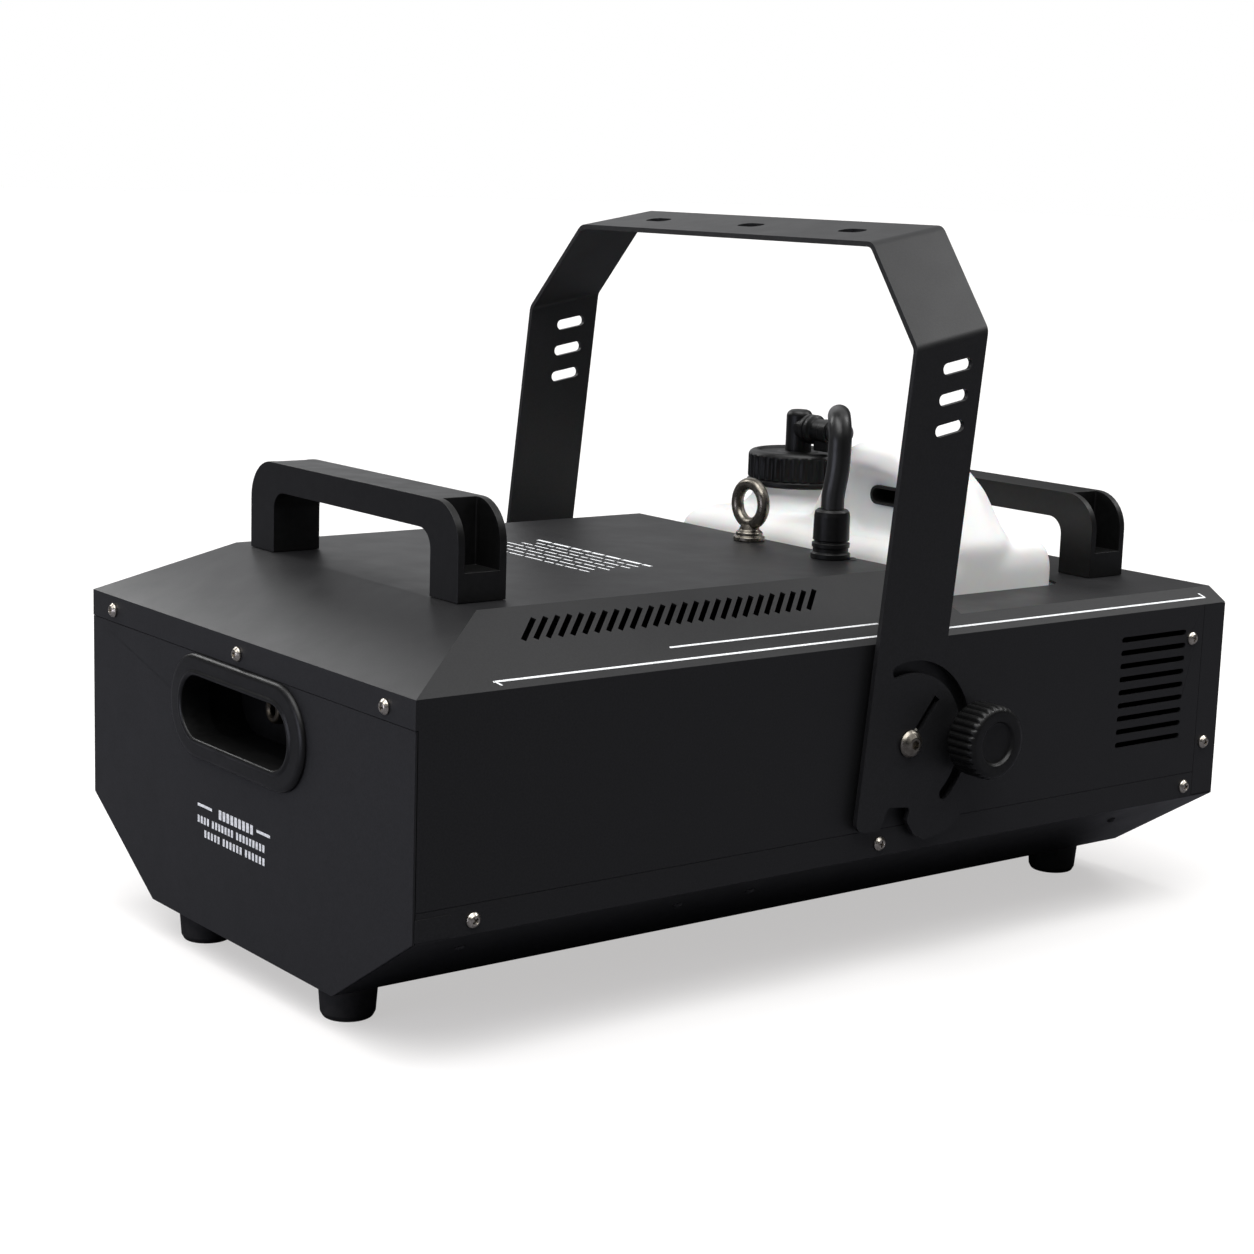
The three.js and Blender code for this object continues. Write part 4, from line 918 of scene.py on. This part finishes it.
def feed_hose():
    """The tank's hose, held at both ends: out of the elbow, over to the coupler and down into it."""
    low, high = box_mm("hose_coupler")
    x, y, base = (low.x + high.x) / 2, (low.y + high.y) / 2, high.z + 0.3
    cap_x, cap_y, _ = cap_centre()
    top, start = box_mm("feed_hose")[1].z - HOSE_R, cap_x + ELBOW_OUT + 0.3
    route = [(start, cap_y, ELBOW_Z), (start + 8, cap_y, ELBOW_Z), (x - 83, y + 80, top - 17.5),
             (x - 64, y + 62, top - 12), (x - 43, y + 42, top - 6), (x - 24, y + 24, top - 1.5),
             (x - 12, y + 13, top), (x - 3.5, y + 6, top - 3), (x + 0.4, y + 3.3, top - 10),
             (x + 1.5, y + 2.3, top - 19), (x + 1.7, y + 1.5, top - 30), (x, y, base + 7), (x, y, base)]
    path = catmull_rom(route, 9)
    obj = new_object("hose_skin", tube(path, [HOSE_R] * len(path), 40))
    soften(obj, 0)
    finish_piece(obj, "tank", "rubber", "hose", replaces=["feed_hose"])


def hose_coupler():
    """A push-in coupler: flange, release ring and tall socket."""
    low, high = box_mm("hose_coupler")
    centre = ((low.x + high.x) / 2, (low.y + high.y) / 2, Z_TOP)
    height, radius = high.z - Z_TOP, (high.x - low.x) / 2
    profile = fillet([(4.2, -22, 0), (6, -22, 0), (6, 0.3, 0), (radius, 0.3, 0.3), (radius, 3.4, 0.7),
                      (radius - 1.2, 4, 0.3), (radius - 1.2, 6.6, 0.3), (radius - 0.5, 7, 0.4),
                      (radius - 0.5, 9.6, 0.4), (radius - 1.8, 10.1, 0.3), (radius - 1.8, 11, 0.3),
                      (radius - 0.9, 11.4, 0.4), (radius - 1.1, height - 4, 2),
                      (radius - 1.6, height - 1.4, 0.8), (radius - 3, height, 0.6), (8.2, height, 0)], 4,
                     closed=False)
    obj = new_object("coupler_body", revolve(profile, 96), centre)
    soften(obj, 0)
    finish_piece(obj, "machine", "plastic", replaces=["hose_coupler"])


# ---------- print ----------
INK_LIFT = 0.08    # how far print stands off the paint
INK_SKIN = 0.1     # how thick it is


def ink_bar(name, corner, along, across, normal):
    """A thin printed bar: a corner point, its two sides as vectors, and the way the surface faces."""
    corner, along, across, normal = (Vector(v) for v in (corner, along, across, normal))
    base = [corner, corner + along, corner + along + across, corner + across]
    if along.cross(across).dot(normal) < 0:
        base.reverse()
    rings = [[tuple(p + normal * lift) for p in base] for lift in (INK_LIFT, INK_LIFT + INK_SKIN)]
    obj = new_object(name, loft(rings))
    soften(obj, 0)
    finish_piece(obj, "machine", "display", "ink")


def front_label():
    """A generic notice in place of lettering: a heading between two rules, over two rows of small blocks."""
    left, right = -46.0, 37.0
    # (bottom of the row, height, start, block width, gap, blocks in each word)
    rows = [(88.6, 5.4, -21.0, 3.0, 1.5, (9,)), (81.6, 4.2, left, 2.2, 1.5, (4, 7, 9)),
            (74.2, 4.2, left + 8, 2.2, 1.7, (5, 6, 6))]
    bars = [(left, 91.2, 17.0, 1.6), (right - 15, 91.2, 15.0, 1.6)]
    for z, height, x, width, gap, words in rows:
        for blocks in words:
            for _ in range(blocks):
                bars.append((x, z, width, height))
                x += width + gap
            x += width
    for count, (x, z, width, height) in enumerate(bars, 1):
        ink_bar(f"front_print_{count}", (x, -HALF_L, z), (width, 0, 0), (0, 0, height), (0, -1, 0))


def deck_label():
    """Rows of dashes on the plateau in place of lettering."""
    count = 0
    for row in range(7):
        y = -110.0 + 7.4 * row
        x = -58.0 + 5 * (row % 3)
        k = 0
        while x < 52 - 4 * (row % 2):
            length = (9.0, 14.0, 6.5, 17.0, 11.0)[(k * 2 + row) % 5]
            count += 1
            end = min(x + length, 56.0)
            thick = 2.6 if row == 6 else 1.3
            ink_bar(f"deck_print_{count}", (x, y, Z_TOP), (end - x, 0, 0), (0, thick, 0), (0, 0, 1))
            x = end + 2.6
            k += 1


def slope_lines():
    """Two fine rules along each side slope; the long one has a hook down at its front and up at its rear."""
    for label, side in (("left", -1), ("right", 1)):
        down = Vector((side * math.cos(SLOPE), 0, -math.sin(SLOPE)))
        normal = Vector((side * math.sin(SLOPE), 0, math.cos(SLOPE)))

        def at(x, y):
            return Vector((side * x, y, Z_SHOULDER + (HALF_W - x) * math.tan(SLOPE)))

        hook = Vector((0, 1.4, 0))
        ink_bar(f"rule_long_{label}", at(174.2, -256), (0, 547, 0), down * 1.3, normal)
        ink_bar(f"rule_short_{label}", at(165.7, -136.5), (0, 151.5, 0), down * 1.2, normal)
        front, rear = down * 3.8 + Vector((0, 3, 0)), down * -3.4 - Vector((0, 2, 0))
        ink_bar(f"rule_front_hook_{label}", at(174.2, -256), hook, front, normal)
        ink_bar(f"rule_rear_hook_{label}", at(174.2, 289.6), hook, rear, normal)


# ---------- sheet-metal details ----------
def corner_tabs():
    """The front panel's folded tabs, which wrap round onto the sides below the seam."""
    for label, side in (("left", -1), ("right", 1)):
        outline = fillet([(-HALF_L + 1.2, Z_BELLY + 1, 0), (-281, Z_BELLY + 1, 4), (-281, Z_SEAM - 3.2, 3),
                          (-HALF_L + 1.2, Z_SEAM - 3.2, 0)])
        inner, outer = sorted((side * (HALF_W + 0.05), side * (HALF_W + 0.5)))
        obj = new_object(f"front_tab_{label}", prism(outline, inner, outer, "x"))
        soften(obj, 0.2, 2)
        finish_piece(obj, "machine", "powder_coat")


def display_readout():
    """A generic four-figure readout with every figure a plain zero, and a mark beside each menu button."""
    low, high = box_mm("display_panel")
    centre_x, centre_z, face = (low.x + high.x) / 2, (low.z + high.z) / 2, high.y
    count = 0
    for k in range(4):
        left = centre_x + (1.5 - k) * 11 - 3.5
        for dx, dz, w, h in ((0, 6, 7, 1.3), (0, -7.3, 7, 1.3), (-1.3, -6, 1.3, 5.4), (-1.3, 0.6, 1.3, 5.4),
                             (7, -6, 1.3, 5.4), (7, 0.6, 1.3, 5.4)):
            count += 1
            u, v = left + dx, centre_z + dz
            bar = fillet([(u, v, 0.4), (u + w, v, 0.4), (u + w, v + h, 0.4), (u, v + h, 0.4)], 3)
            obj = new_object(f"readout_bar_{count}", prism(bar, face + 0.05, face + 0.15, "y"))
            soften(obj, 0)
            finish_piece(obj, "machine", "display", "segment")
    for k in range(1, 5):
        low, high = box_mm(f"menu_button_{k}")
        x, z = (low.x + high.x) / 2, low.z - 5
        ink_bar(f"button_mark_{k}", (x - 3, HALF_L, z), (6, 0, 0), (0, 0, 1.1), (0, 1, 0))


def menu_buttons():
    """Domed push buttons."""
    for k in range(1, 5):
        low, high = box_mm(f"menu_button_{k}")
        centre = ((low.x + high.x) / 2, low.y, (low.z + high.z) / 2)
        radius, length = (high.x - low.x) / 2, high.y - low.y
        profile = fillet([(1, 0, 0), (radius, 0, 0), (radius, length - 0.6, 0.5),
                          (radius * 0.6, length - 0.05, 2), (0.3, length, 0)], 4, closed=False)
        obj = new_object(f"push_button_{k}", revolve(profile, 48), centre, (0, 1, 0))
        soften(obj, 0)
        finish_piece(obj, f"button_{k}", "plastic", replaces=[f"menu_button_{k}"])


nozzle_bezel()
nozzle_tip()
body_screws()
for label, side in (("left", -1), ("right", 1)):
    pivot_bolt(label, side)
    clamp_knob(label, side)
handle("front_handle", "carry_handle_front")
handle("rear_handle", "carry_handle_rear")
eyebolt()
feet()
tank_hull()
tank_cap()
cap_elbow()
feed_hose()
hose_coupler()
front_label()
deck_label()
slope_lines()
corner_tabs()
display_readout()
menu_buttons()
